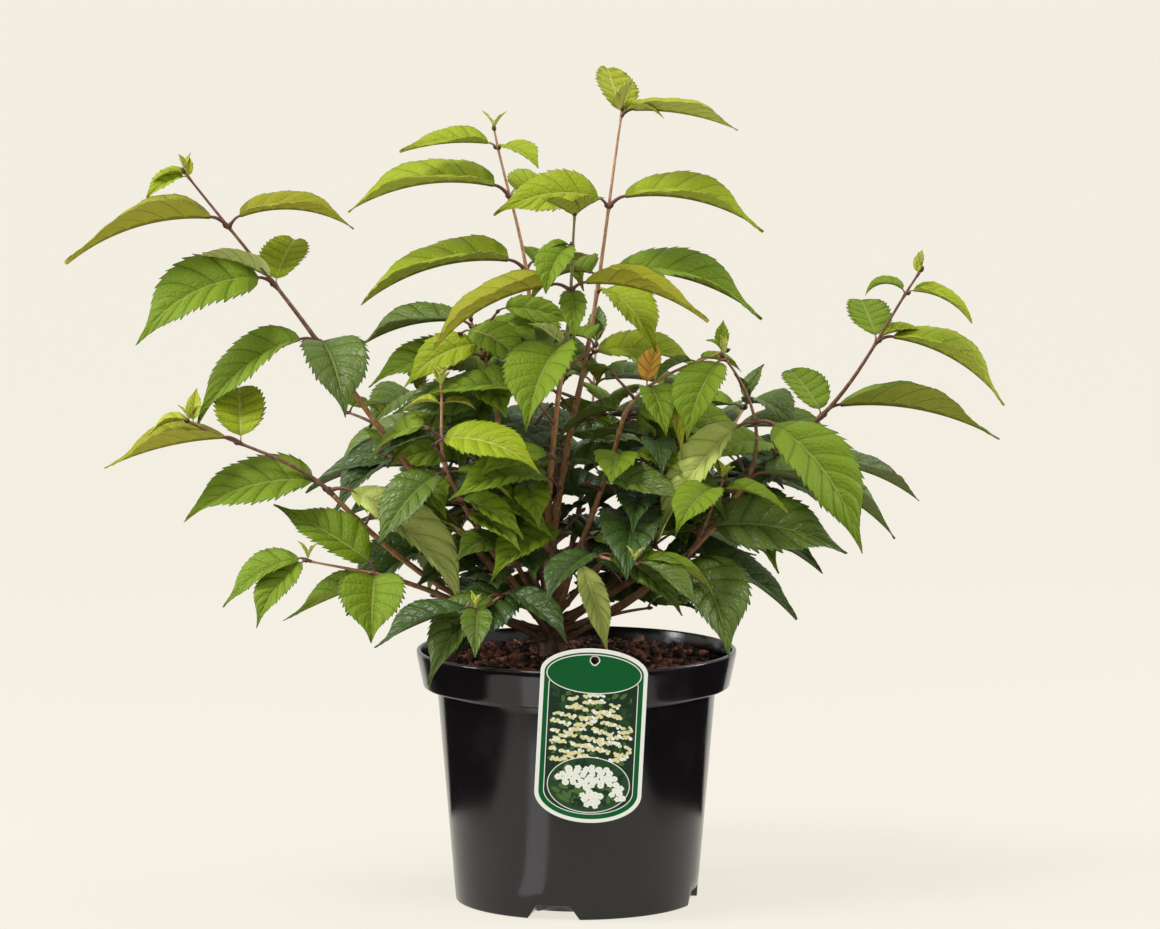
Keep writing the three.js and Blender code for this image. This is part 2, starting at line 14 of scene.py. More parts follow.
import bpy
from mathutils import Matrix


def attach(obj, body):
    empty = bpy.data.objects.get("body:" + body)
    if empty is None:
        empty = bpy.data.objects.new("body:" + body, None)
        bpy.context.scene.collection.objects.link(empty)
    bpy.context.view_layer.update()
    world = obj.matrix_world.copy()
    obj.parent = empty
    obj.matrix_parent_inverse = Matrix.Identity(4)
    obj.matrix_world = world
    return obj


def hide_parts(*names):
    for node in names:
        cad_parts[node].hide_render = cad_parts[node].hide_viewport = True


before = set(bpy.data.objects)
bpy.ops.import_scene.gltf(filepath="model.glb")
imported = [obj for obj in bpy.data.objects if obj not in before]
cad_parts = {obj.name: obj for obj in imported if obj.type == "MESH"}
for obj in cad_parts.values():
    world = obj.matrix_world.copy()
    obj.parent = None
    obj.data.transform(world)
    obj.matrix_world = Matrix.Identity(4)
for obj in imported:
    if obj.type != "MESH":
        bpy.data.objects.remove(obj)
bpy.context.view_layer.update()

import math

import bpy
import numpy as np
from mathutils import Vector
from mathutils.bvhtree import BVHTree

MM = 0.001  # shapes are worked out in millimetres, and meshes are in metres

# %% [markdown]
# ## From arrays to a mesh
#
# A mesh could be built face by face with bmesh, but half a million faces would take minutes.
# Here each shape is a *part*: an array of points, arrays of face corners and a finish number
# for each face. A batch gathers parts and hands them to Blender with `foreach_set` in one go.


# %% Faces of a grid
def grid_faces(rows, columns, wrap):
    """Corners of the quads of a grid that is numbered row by row. With wrap, the last column
    joins the first."""
    row, column = np.meshgrid(np.arange(rows - 1), np.arange(columns - (not wrap)), indexing="ij")
    right = (column + 1) % columns
    here, there = row * columns, (row + 1) * columns
    return np.stack([here + column, here + right, there + right, there + column], -1).reshape(-1, 4)


def volume_of(points, faces):
    """Six times the volume under a skin's faces: the sum of a · (b × c) over their triangles.
    It is positive where they point outwards."""
    corners = points - points.mean(0)
    total = 0.0
    for k in range(1, faces.shape[1] - 1):
        a, b, c = (corners[faces[:, i]] for i in (0, k, k + 1))
        total += np.einsum("ij,ij->", a, np.cross(b, c))
    return total


# %% Gather parts into one mesh
class Batch:
    """Parts that become one mesh. Points are in millimetres. `straight` is a coordinate that
    goes with each point, along and across the shape itself, which materials can read."""

    def __init__(self):
        self.points, self.straight, self.count = [], [], 0
        self.faces = {3: [], 4: []}
        self.finish = {3: [], 4: []}

    def add(self, points, quads=None, triangles=None, finish=0, straight=None):
        """Each part is a closed skin. One whose faces point inwards is turned round."""
        points = np.asarray(points, float).reshape(-1, 3)
        given = {sides: np.asarray(faces) for faces, sides in ((triangles, 3), (quads, 4))
                 if faces is not None and len(faces)}
        inward = sum(volume_of(points, faces) for faces in given.values()) < 0
        for sides, faces in given.items():
            own = finish[sides] if isinstance(finish, dict) else np.full(len(faces), finish)
            self.faces[sides].append((faces[:, ::-1] if inward else faces) + self.count)
            self.finish[sides].append(own)
        self.points.append(points)
        self.straight.append(points if straight is None else np.asarray(straight).reshape(-1, 3))
        self.count += len(points)

    def triangles(self):
        return sum(len(f) * (sides - 2) for sides in (3, 4) for f in self.faces[sides])

    def mesh(self, name, materials, smooth=True):
        made = bpy.data.meshes.new(name)
        made.vertices.add(self.count)
        in_metres = [(np.concatenate(rows) * MM).astype(np.float32).ravel()
                     for rows in (self.points, self.straight)]
        made.vertices.foreach_set("co", in_metres[0])
        used = [sides for sides in (3, 4) if self.faces[sides]]
        faces = {sides: np.concatenate(self.faces[sides]) for sides in used}
        sizes = np.concatenate([np.full(len(faces[sides]), sides) for sides in used])
        corners = np.concatenate([faces[sides].ravel() for sides in used])
        made.loops.add(len(corners))
        made.loops.foreach_set("vertex_index", corners.astype(np.int32))
        made.polygons.add(len(sizes))
        starts = np.concatenate([[0], np.cumsum(sizes)[:-1]])
        made.polygons.foreach_set("loop_start", starts.astype(np.int32))
        finish = np.concatenate([np.concatenate(self.finish[sides]) for sides in used])
        made.polygons.foreach_set("material_index", finish.astype(np.int32))
        made.polygons.foreach_set("use_smooth", np.full(len(sizes), smooth))
        along = made.attributes.new("straight", "FLOAT_VECTOR", "POINT")
        along.data.foreach_set("vector", in_metres[1])
        for material in materials:
            made.materials.append(material)
        made.update(calc_edges=True)
        made.validate()
        return made


def linked(name, data):
    """A new object with this data, put into the scene."""
    made = bpy.data.objects.new(name, data)
    bpy.context.scene.collection.objects.link(made)
    return made


def piece(name, batch, materials, slot, *nodes, smooth=True):
    """A batch as an object that rides on the plant and stands for the named CAD nodes."""
    made = linked(name, batch.mesh(name, materials, smooth))
    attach(made, "root")
    if nodes:
        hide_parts(*nodes)
    print(f"{name}: {batch.count} points, {batch.triangles()} triangles")


# %% Rings joined to a closed skin
def around(sides):
    """Angles at even steps of one full turn."""
    return np.arange(sides) * 2 * np.pi / sides


def level_rings(reach, angle, height=0.0):
    """(reach·cos a, reach·sin a, height) for every reach and angle."""
    return np.stack([reach * np.cos(angle), reach * np.sin(angle), height + 0 * reach * angle], -1)


def closed_skin(batch, rings, poles, finish=0, straight=None):
    """Rings of points, joined one to the next and closed at each end by a fan to a pole."""
    rows, sides = rings.shape[:2]
    count, k = rows * sides, np.arange(sides)
    following, last = (k + 1) % sides, count - sides
    foot = np.stack([np.full(sides, count), following, k], 1)
    head = np.stack([np.full(sides, count + 1), last + k, last + following], 1)
    points = np.concatenate([rings.reshape(-1, 3), poles])
    batch.add(points, grid_faces(rows, sides, True), np.concatenate([foot, head]), finish, straight)


# %% A ring carried along a path
def unit(vectors):
    return vectors / np.linalg.norm(vectors, axis=-1, keepdims=True)


def lengths(path):
    """The way along a path to each of its points."""
    return np.concatenate([[0], np.cumsum(np.linalg.norm(np.diff(path, axis=0), axis=1))])


def framed(path):
    """Tangent, normal and binormal at each point of a path. One fixed direction, square to the
    path's chord, is laid square to each tangent, so the frames don't twist."""
    tangent = unit(np.gradient(path, axis=0))
    chord = unit(path[-1] - path[0])
    other = np.eye(3)[np.argmin(np.abs(chord))]
    fixed = np.cross(chord, other)
    normal = unit(fixed - tangent * (tangent @ fixed)[:, None])
    return tangent, normal, np.cross(tangent, normal)


def tube(batch, path, radii, sides, finish=0, relief=0.0):
    """P(s, a) = path(s) + r(s)·(1 + relief(s, a))·(cos a · normal + sin a · binormal), closed at
    each end by a fan to the path's own end point. Its `straight` coordinate is where the point
    would lie if the path were a plumb line."""
    angle = around(sides)
    reach = radii[:, None] * (1 + relief)
    tangent, normal, binormal = framed(path)
    x, y = reach * np.cos(angle), reach * np.sin(angle)
    rings = path[:, None] + x[..., None] * normal[:, None] + y[..., None] * binormal[:, None]
    length = lengths(path)
    straight = np.stack([x, y, length[:, None] + 0 * x], -1).reshape(-1, 3)
    ends = [[0, 0, 0], [0, 0, length[-1]]]
    closed_skin(batch, rings, path[[0, -1]], finish, np.concatenate([straight, ends]))


# %% Curves
def bezier(controls, shares):
    """Points of a Bézier curve: neighbouring control points are mixed by the share until one
    point is left for each share."""
    shares = np.atleast_1d(np.asarray(shares, float))
    rows = [np.ones((len(shares), 1)) * np.asarray(c, float) for c in controls]
    while len(rows) > 1:
        rows = [a + (b - a) * shares[:, None] for a, b in zip(rows[:-1], rows[1:])]
    return rows[0]


def smooth_step(share):
    """x²·(3 - 2·x): from 0 to 1 with a soft start and a soft end."""
    share = np.clip(share, 0, 1)
    return share * share * (3 - 2 * share)


def heading_of(curve, share):
    """The unit tangent of a Bézier curve: its differences make a curve of one degree less."""
    return unit(bezier(np.diff(np.asarray(curve, float), axis=0), share))[0]


def bowed(foot, tip, bow):
    """A limb's middle line, its middle pushed off the straight by `bow`."""
    foot, tip = np.asarray(foot, float), np.asarray(tip, float)
    return [foot, (foot + tip) / 2 + 2 * np.asarray(bow, float), tip]


def onward(curve, tip, bow, gap=0.3):
    """A limb's middle line that goes on from another's tip, setting out the way that one ends."""
    way, tip = heading_of(curve, 1), np.asarray(tip, float)
    foot = curve[-1] + way * gap
    third = np.linalg.norm(tip - foot) / 3
    before = foot + (tip - foot) * 2 / 3 + 2 * np.asarray(bow, float)
    return [foot, foot + way * third, before, tip]


# %% [markdown]
# ## Finishes
#
# Bark, soil and plastic are shader nodes over coordinates that stay on the surface. Three
# effects turn up in many finishes, so each is a node group with its own inputs: `mottle`
# for blotches, `fissures` for grain along a limb, and `netting` for the fine veins between
# a leaf's ribs. Leaf colours are plain: a leaf's crests, valleys, midrib and underside each
# wear their own tone, dealt out face by face, so that they keep their place in any export.
# The darker tones of the valleys and of the veins below are painted shade along the veins.


# %% Colours as the eye names them
def colour(red, green, blue):
    """A display colour of 0 to 255 as the linear numbers that shaders work in."""
    display = np.array([red, green, blue]) / 255
    linear = np.where(display <= 0.04045, display / 12.92, ((display + 0.055) / 1.055) ** 2.4)
    return (*linear.tolist(), 1.0)


# %% Shader nodes
def make_node(tree, kind, inputs, **settings):
    """A new shader node's outputs. An input is a value, or the socket that it is linked to."""
    made = tree.nodes.new("ShaderNode" + kind)
    for setting, value in settings.items():
        setattr(made, setting, value)
    for socket, value in inputs.items():
        if isinstance(value, bpy.types.NodeSocket):
            tree.links.new(value, made.inputs[socket])
        else:
            made.inputs[socket].default_value = value
    return made.outputs


def ranged(tree, source, low, high):
    """The source's values between low and high, spread from 0 to 1."""
    spread = make_node(tree, "MapRange", {"Value": source, "From Min": low, "From Max": high})
    return spread["Result"]


def group(name, outputs, **numbers):
    """An empty shader group that takes a vector and the named numbers, with what it takes and
    what it gives."""
    tree = bpy.data.node_groups.new(name, "ShaderNodeTree")
    tree.interface.new_socket("Vector", in_out="INPUT", socket_type="NodeSocketVector")
    for label, value in numbers.items():
        socket = tree.interface.new_socket(label, in_out="INPUT", socket_type="NodeSocketFloat")
        socket.default_value = value
    for label in outputs:
        tree.interface.new_socket(label, in_out="OUTPUT", socket_type="NodeSocketFloat")
    taken, given = (tree.nodes.new("NodeGroup" + end) for end in ("Input", "Output"))
    return tree, taken.outputs, given.inputs


mottle, taken, given = group("mottle", ["Mask"], Scale=100.0, Low=0.4, High=0.6)
noise = make_node(mottle, "TexNoise", {"Vector": taken["Vector"], "Scale": taken["Scale"],
                                       "Detail": 5})
mottle.links.new(ranged(mottle, noise["Fac"], taken["Low"], taken["High"]), given["Mask"])

# The third number, the way along a limb, counts for less, which draws the grain out.
fissures, taken, given = group("fissures", ["Height", "Mask"], Scale=900.0)
drawn_out = make_node(fissures, "VectorMath", {0: taken["Vector"], 1: (1, 1, 0.16)},
                      operation="MULTIPLY")[0]
noise = make_node(fissures, "TexNoise", {"Vector": drawn_out, "Scale": taken["Scale"],
                                         "Detail": 6, "Distortion": 0.6})
for output, low, high in (("Height", 0.3, 0.7), ("Mask", 0.46, 0.62)):
    fissures.links.new(ranged(fissures, noise["Fac"], low, high), given[output])

netting, taken, given = group("netting", ["Height", "Gloss"], Scale=480.0)
cells = make_node(netting, "TexVoronoi", {"Vector": taken["Vector"], "Scale": taken["Scale"]},
                  feature="DISTANCE_TO_EDGE")
for output, low, high in (("Height", 0.0, 0.22), ("Gloss", -0.9, 0.5)):
    netting.links.new(ranged(netting, cells["Distance"], low, high), given[output])
print("shader groups:", [made.name for made in bpy.data.node_groups])


# %% One finish
class Finish:
    """A material in the making: its Principled shader and short ways to add and link nodes."""

    def __init__(self, name, base, roughness, coordinate="Object", **constants):
        self.material = bpy.data.materials.new(name)
        self.material.use_nodes = True
        self.tree = self.material.node_tree
        self.shader = self.tree.nodes["Principled BSDF"]
        self.shader.inputs["Base Color"].default_value = colour(*base)
        self.shader.inputs["Roughness"].default_value = roughness
        for socket, value in constants.items():
            self.shader.inputs[socket.replace("_", " ")].default_value = value
        if coordinate == "Object":
            self.place = make_node(self.tree, "TexCoord", {})["Object"]
        else:
            self.place = make_node(self.tree, "Attribute", {}, attribute_name=coordinate)["Vector"]

    def effect(self, tree, **values):
        """One of the shader groups, set over the finish's own coordinate."""
        return make_node(self.tree, "Group", {"Vector": self.place, **values}, node_tree=tree)

    def blotches(self, scale, low, high):
        """A mask of blotches at a scale, from the noise's levels `low` to `high`."""
        return self.effect(mottle, Scale=scale, Low=low, High=high)["Mask"]

    def tint(self, mask, light, strength):
        """Mixes another colour over the base colour where the mask is 1."""
        base = self.shader.inputs["Base Color"]
        under = base.links[0].from_socket if base.is_linked else base.default_value
        weight = make_node(self.tree, "Math", {0: mask, 1: strength}, operation="MULTIPLY")[0]
        mix = make_node(self.tree, "Mix", {"Factor": weight, "A": under, "B": colour(*light)},
                        data_type="RGBA")
        self.tree.links.new(mix["Result"], base)

    def sink(self, light, high, low, strength=0.75):
        """Mixes another colour in from the height `high` down to `low`, in metres."""
        place = make_node(self.tree, "TexCoord", {})["Object"]
        height = make_node(self.tree, "SeparateXYZ", {0: place})["Z"]
        self.tint(ranged(self.tree, height, high, low), light, strength)

    def rough(self, mask, low, high):
        """Roughness from low to high as the mask goes from 0 to 1."""
        spread = make_node(self.tree, "MapRange", {"Value": mask, "To Min": low, "To Max": high})
        self.tree.links.new(spread["Result"], self.shader.inputs["Roughness"])

    def relief(self, height, depth, strength):
        """A bump of the given depth in metres."""
        bump = make_node(self.tree, "Bump", {"Height": height, "Distance": depth,
                                             "Strength": strength})
        self.tree.links.new(bump["Normal"], self.shader.inputs["Normal"])


# %% [markdown]
# ## The growth plan
#
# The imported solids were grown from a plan: a bough runs from the stock, a shoot goes on from
# its bough, and each node of a shoot bears leaves. The same plan is written here again, so
# that the fine plant grows where the solids are. Reading points from the solids instead
# would give crumpled leaves with no sense of which point is rib and which is margin.
#
# A bough is its name, the share of the way up the stock where it leaves (or the bough that it
# goes on from), its tip, its bow and its two radii. A leaf is its heading, lift, length,
# droop, facing and width, in degrees, millimetres and a share of the length.

# %% The plan
TRUNK = dict(foot=(-12, 2, 139.3), tip=(-17, 0, 171), foot_radius=10, neck_radius=5.6,
             head_radius=7, flare=0.28)
STEM_TIP = 0.65  # radius of every shoot's stem at its tip
FORK = 0.97  # share of a bough's length where a second shoot leaves it
LEAF = dict(stalk=0.13, rise=28, width=0.5, droop=48, facing=22,
            turns=(0, 14, -14, 28, -28, 42, -42))
HABIT = dict(first=0.08, last=0.94, spread=(62, 112), lift=4, shrink=0.4, sway=12, youngest=26)

BOUGHS = [
    ("leader", 0.95, (1, 13, 300), (-3, 0, 0), (2.3, 1.8)),
    ("left_leader", 0.9, (-28, 45, 342), (-4, 8, 0), (2.2, 1.5)),
    ("centre", 0.9, (-7, -35, 328), (-4, -6, 0), (2.2, 1.5)),
    ("left_upper", 0.85, (-150, -20, 332), (10, 0, -22), (2.3, 1.5)),
    ("right_outer", 0.8, (122, 25, 264), (0, 6, -12), (2.3, 1.8)),
    ("right_upper", "right_outer", (142, 20, 283), (0, 0, 0), (1.7, 1.5)),
    ("right_middle", 0.62, (97, -30, 249), (6, 0, -12), (2.3, 1.6)),
    ("left_middle", 0.65, (-142, -40, 246), (0, 0, -14), (2.1, 1.5)),
    ("left_low", 0.4, (-102, -50, 197), (0, 0, 2), (1.9, 1.4)),
    ("right_low", 0.4, (60, -35, 205), (0, 0, -4), (1.9, 1.4)),
    ("left_inner", 0.9, (-74, -42, 256), (0, 0, -8), (1.8, 1.3)),
    ("left_high", 1, (-48, 2, 298), (-4, 0, -4), (1.9, 1.4)),
    ("right_inner", 1, (27, -16, 287), (2, -2, -4), (1.9, 1.4)),
    ("left_core", 0.75, (-48, 12, 222), (0, 0, 0), (1.8, 1.4)),
    ("right_core", 0.8, (32, -18, 224), (0, 0, 0), (1.8, 1.4)),
    ("left_front", 0.5, (-32, -40, 187), (0, 0, 0), (1.8, 1.4)),
    ("right_front", 0.5, (-2, -44, 206), (0, 0, 0), (1.8, 1.4)),
    ("back_left", 0.7, (-72, 72, 236), (0, 0, -8), (2, 1.5)),
    ("back", 0.8, (6, 88, 248), (0, 0, -10), (2.1, 1.5)),
    ("back_right", 0.7, (70, 80, 232), (0, 0, -8), (2, 1.5)),
    ("back_low", 0.4, (-12, 78, 184), (0, 0, 4), (1.8, 1.4)),
    ("left_side", 0.6, (-62, 44, 200), (0, 0, 2), (1.8, 1.4)),
    ("right_side", 0.6, (60, 46, 206), (0, 0, 0), (1.8, 1.4)),
]

SHOOTS = [
    dict(name="leader", apex=(27, 22, 468), tones="fresh fresh young", stem="tan",
         paint={0.12: "fresh fresh", 0.4: "leafy leafy", 0.66: "fresh fresh"},
         nodes=[(0.12, (8, 8, 70, 40, 30), (205, -4, 58, 40)),
                (0.36, (-55, -10, 64)),
                (0.4, (0, 4, 94, 44, 26), (138, 6, 70)),
                (0.66, (2, 8, 88, 44), (192, 16, 66, 50, 42)),
                (0.98, (3, 2, 64, 26, 14), (118, 55, 30, 10, 0, 0.98), (300, 66, 24, 20),
                 (0, 30, 26, 80))]),
    dict(name="left_leader", apex=(-49, 50, 455), tones="fresh fresh young", stem="tan",
         paint={0.25: "fresh leafy", 0.9: "fresh fresh"},
         nodes=[(0.25, (180, 6, 96, 46), (35, 6, 74)),
                (0.64, (180, 12, 92, 44), (60, 16, 56)),
                (0.9, (185, 6, 54, 24), (-50, -4, 36, 30, 22, 0.6))]),
    dict(name="centre", apex=(-1, -40, 410), tones="leafy olive leafy", stem="green",
         paint={0.04: "leafy pale", 0.46: "olive olive leafy", 0.78: "leafy leafy"},
         nodes=[(0.04, (248, -16, 70, 50, 0, 0.66), (150, 36, 26, 20)),
                (0.46, (195, -4, 84, 46, 14), (-12, 4, 78, 42, 12), (275, -28, 34, 50)),
                (0.78, (235, -24, 36, 50, 22, 0.7), (200, 0, 20, 30)),
                (0.98, (225, 30, 24, 20, 0, 0.8), (-40, 36, 24, 20, 0, 0.7))]),
    dict(name="left_upper", apex=(-229, -20, 434), tones="mature leafy fresh", stem="plum",
         paint={0.02: "leafy mature", 0.34: "leafy fresh pale", 0.68: "olive olive",
                0.97: "fresh fresh"},
         nodes=[(0.02, (190, -16, 80, 46, 28), (-70, -18, 62, 50, 22, 0.66)),
                (0.34, (190, 0, 86, 56, 36, 0.56), (70, 50, 34, 30, 22, 0.85),
                 (172, 30, 44, 26, 0, 0.7)),
                (0.68, (182, 4, 92, 44, 14), (0, 20, 70, 52)),
                (0.97, (180, 10, 28, 90), (200, -14, 26, 30, 30, 0.7), (90, 75, 12, 10))]),
    dict(name="left_middle", apex=(-226, -45, 290), tones="leafy fresh", stem="plum",
         paint={0.04: "leafy pale", 0.66: "olive fresh"},
         nodes=[(0.04, (186, 6, 82, 46, 34, 0.55), (-12, -26, 104, 40, 12, 0.34)),
                (0.66, (184, -2, 74, 24, 14), (95, 55, 36, 25, 22, 0.85)),
                (0.97, (80, 70, 20, 20), (180, 10, 26, 60))]),
    dict(name="left_low", apex=(-156, -66, 211), tones="fresh fresh", stem="tan",
         paint={0.05: "leafy", 0.3: "leafy leafy", 0.97: "leafy leafy"},
         nodes=[(0.05, (184, -18, 64, 10)),
                (0.3, (268, -34, 46, 36, 0, 0.9), (165, 34, 66, 12, 34, 0.56)),
                (0.97, (182, -12, 54, 42, 30), (212, -30, 48, 40, 30))]),
    dict(name="right_upper", apex=(203, 5, 374), tones="leafy fresh young", stem="plum",
         paint={0.04: "leafy leafy", 0.55: "leafy fresh fresh", 0.85: "leafy fresh"},
         nodes=[(0.04, (125, 45, 36, 25, 22, 0.75), (0, 6, 100, 36, 10)),
                (0.55, (105, 40, 34, 20, 22, 0.8), (-5, -8, 80, 46, 20), (20, 26, 32, 60)),
                (0.85, (170, 40, 26, 100), (-15, 0, 42, 56)),
                (0.98, (60, 75, 14, 20))]),
    dict(name="right_middle", apex=(86, -35, 327), bow=(9, 0, 0), tones="mature fresh olive",
         stem="plum", paint={0.52: "pale leafy", 0.98: "olive leafy"},
         nodes=[(0.06, (15, -4, 94, 46)),
                (0.52, (203, -36, 84, 32, 0, 0.38), (-31, -28, 96, 46, 36, 0.44)),
                (0.98, (205, -48, 60, 40, 22, 0.36), (230, -36, 54, 40, 22, 0.62))]),
    dict(name="right_low", apex=(86, -58, 258), tones="mature leafy", stem="plum",
         paint={0.36: "mature mature"},
         nodes=[(0.05, (-64, -20, 74, 50, 22, 0.62), (-12, -14, 70, 34)),
                (0.36, (6, 6, 82, 36, 44, 0.56), (150, -4, 56, 40)),
                (0.85, (215, -4, 56, 40, 30), (-14, 0, 40, 40)),
                (0.97, (120, 56, 16, 30), (300, 46, 16, 30))]),
    dict(name="right_outer", on="right_outer", apex=(136, 4, 256), tones="shade mature",
         stem="plum", nodes=[(0.9, (8, -4, 74, 34), (215, -12, 58, 40))]),
    dict(name="left_inner", apex=(-79, -42, 312), tones="mature fresh", stem="tan",
         paint={0.05: "mature leafy"},
         nodes=[(0.05, (222, -22, 62, 40, 30), (-10, -6, 44)),
                (0.42, (183, 2, 34), (8, 4, 34)),
                (0.78, (170, 10, 22), (15, 10, 20)),
                (0.96, (120, 56, 16, 20), (300, 50, 14, 20))]),
    dict(name="left_high", apex=(-62, 0, 345), tones="mature mature", stem="tan",
         paint={0.5: "leafy mature", 0.9: "mature leafy"},
         nodes=[(0.06, (205, -14, 72, 44, 30), (236, -34, 54)),
                (0.5, (180, 0, 66, 36, 34, 0.56), (60, 0, 44, 40)),
                (0.9, (165, 4, 70, 40), (330, 4, 46))]),
    dict(name="right_inner", apex=(87, -20, 329), bow=(0, 0, 3), tones="leafy leafy", stem="tan",
         paint={0.34: "amber leafy", 0.06: "leafy mature"},
         nodes=[(0.06, (-10, -8, 66, 40, 34), (150, -4, 48)),
                (0.34, (70, 56, 28, 10, 22, 0.55), (-60, -14, 44)),
                (0.75, (20, 6, 28), (200, -4, 26)),
                (0.97, (80, 72, 18, 10), (150, 56, 12, 60))]),
    dict(name="left_core", apex=(-72, 6, 268), tones="shade mature", stem="tan",
         pairs=4, size=80),
    dict(name="right_core", apex=(46, -14, 276), tones="shade mature", stem="tan",
         pairs=4, size=76),
    dict(name="left_front", apex=(-58, -86, 184), tones="shade mature", stem="tan",
         paint={0.5: "mature shade", 0.95: "shade mature"},
         nodes=[(0.1, (206, -14, 66, 36, 34, 0.58)),
                (0.5, (222, -26, 68, 40), (320, -10, 52, 40)),
                (0.95, (186, -10, 60, 20), (268, -16, 40, 40))]),
    dict(name="right_front", apex=(34, -88, 212), tones="mature leafy", stem="tan",
         paint={0.1: "pale", 0.5: "mature shade", 0.95: "leafy mature"},
         nodes=[(0.1, (-58, -52, 58, 16, -10, 0.3)),
                (0.5, (-24, -16, 58, 40, 30), (232, -10, 52, 40)),
                (0.95, (12, -6, 50, 40), (-70, -14, 46, 40))]),
    dict(name="back_left", apex=(-96, 110, 290), tones="shade mature", stem="tan",
         pairs=4, size=90),
    dict(name="back", apex=(12, 138, 318), tones="shade mature", stem="tan",
         pairs=4, size=92),
    dict(name="back_right", apex=(104, 116, 284), tones="shade mature", stem="tan",
         pairs=4, size=90),
    dict(name="back_low", apex=(-18, 128, 196), tones="shade shade", stem="tan",
         pairs=3, size=84),
    dict(name="left_side", apex=(-98, 58, 226), tones="shade mature", stem="tan",
         pairs=3, size=84),
    dict(name="right_side", apex=(96, 62, 234), tones="shade mature", stem="tan",
         pairs=3, size=84),
]
print("plan:", len(BOUGHS), "boughs and", len(SHOOTS), "shoots")


# %% Grow the middle lines
def seeded(seed):
    """A repeatable row of numbers from 0 to 1, the one that the solids were grown by."""
    while True:
        seed = (seed * 1664525 + 1013904223) % 2**32
        yield seed / 2**32


def ruled_nodes(curve, pairs, size, seed):
    """Pairs of leaves by rule: evenly spaced, crosswise in turn and largest at the foot."""
    row = seeded(seed)
    way = curve[-1] - curve[0]
    ahead = math.degrees(math.atan2(way[1], way[0]))
    nodes = []
    for pair in range(pairs):
        age = pair / (pairs - 1)
        length = size * (1 - HABIT["shrink"] * age)
        leaves = []
        for side in (1, -1):
            sway = [HABIT["sway"] * (2 * next(row) - 1) for _ in range(3)]
            heading = ahead + side * HABIT["spread"][pair % 2] + sway[0]
            leaves.append((heading, HABIT["lift"] + sway[1], length + sway[2] / 2))
        nodes.append((HABIT["first"] + (HABIT["last"] - HABIT["first"]) * age, *leaves))
    young = HABIT["youngest"]
    nodes.append((1, (ahead, 60, young, 20), (ahead + 180, 65, 0.8 * young, 20)))
    return nodes


trunk_curve = bowed(TRUNK["foot"], TRUNK["tip"], (0, 0, 0))
bough_curves, bough_radii = {}, {}
for name, start, tip, bow, radii in BOUGHS:
    if isinstance(start, str):
        bough_curves[name] = onward(bough_curves[start], tip, bow)
    else:
        bough_curves[name] = bowed(bezier(trunk_curve, start)[0], tip, bow)
    bough_radii[name] = radii

for index, shoot in enumerate(SHOOTS):
    parent = shoot.get("on", shoot["name"])
    bow = shoot.get("bow", (0, 0, 0))
    if "on" in shoot:
        shoot["curve"] = bowed(bezier(bough_curves[parent], FORK)[0], shoot["apex"], bow)
    else:
        shoot["curve"] = onward(bough_curves[parent], shoot["apex"], bow)
    shoot["radius"] = bough_radii[parent][1]
    if "nodes" not in shoot:
        shoot["nodes"] = ruled_nodes(shoot["curve"], shoot["pairs"], shoot["size"], index + 1)
print("leaves in the plan:", sum(len(node) - 1 for shoot in SHOOTS for node in shoot["nodes"]))

# %% [markdown]
# ## Leaves: the grid that they are laid on
#
# A leaf of this shrub is pleated: the blade bulges between side veins that sweep forward from
# the midrib, and the margin carries two or three teeth to each vein. A flat card with a
# picture would lose that from the side. Here each leaf is a closed shell on a grid whose rows
# follow the veins, so veins, pleats and teeth fall exactly on rows, and few faces do much.


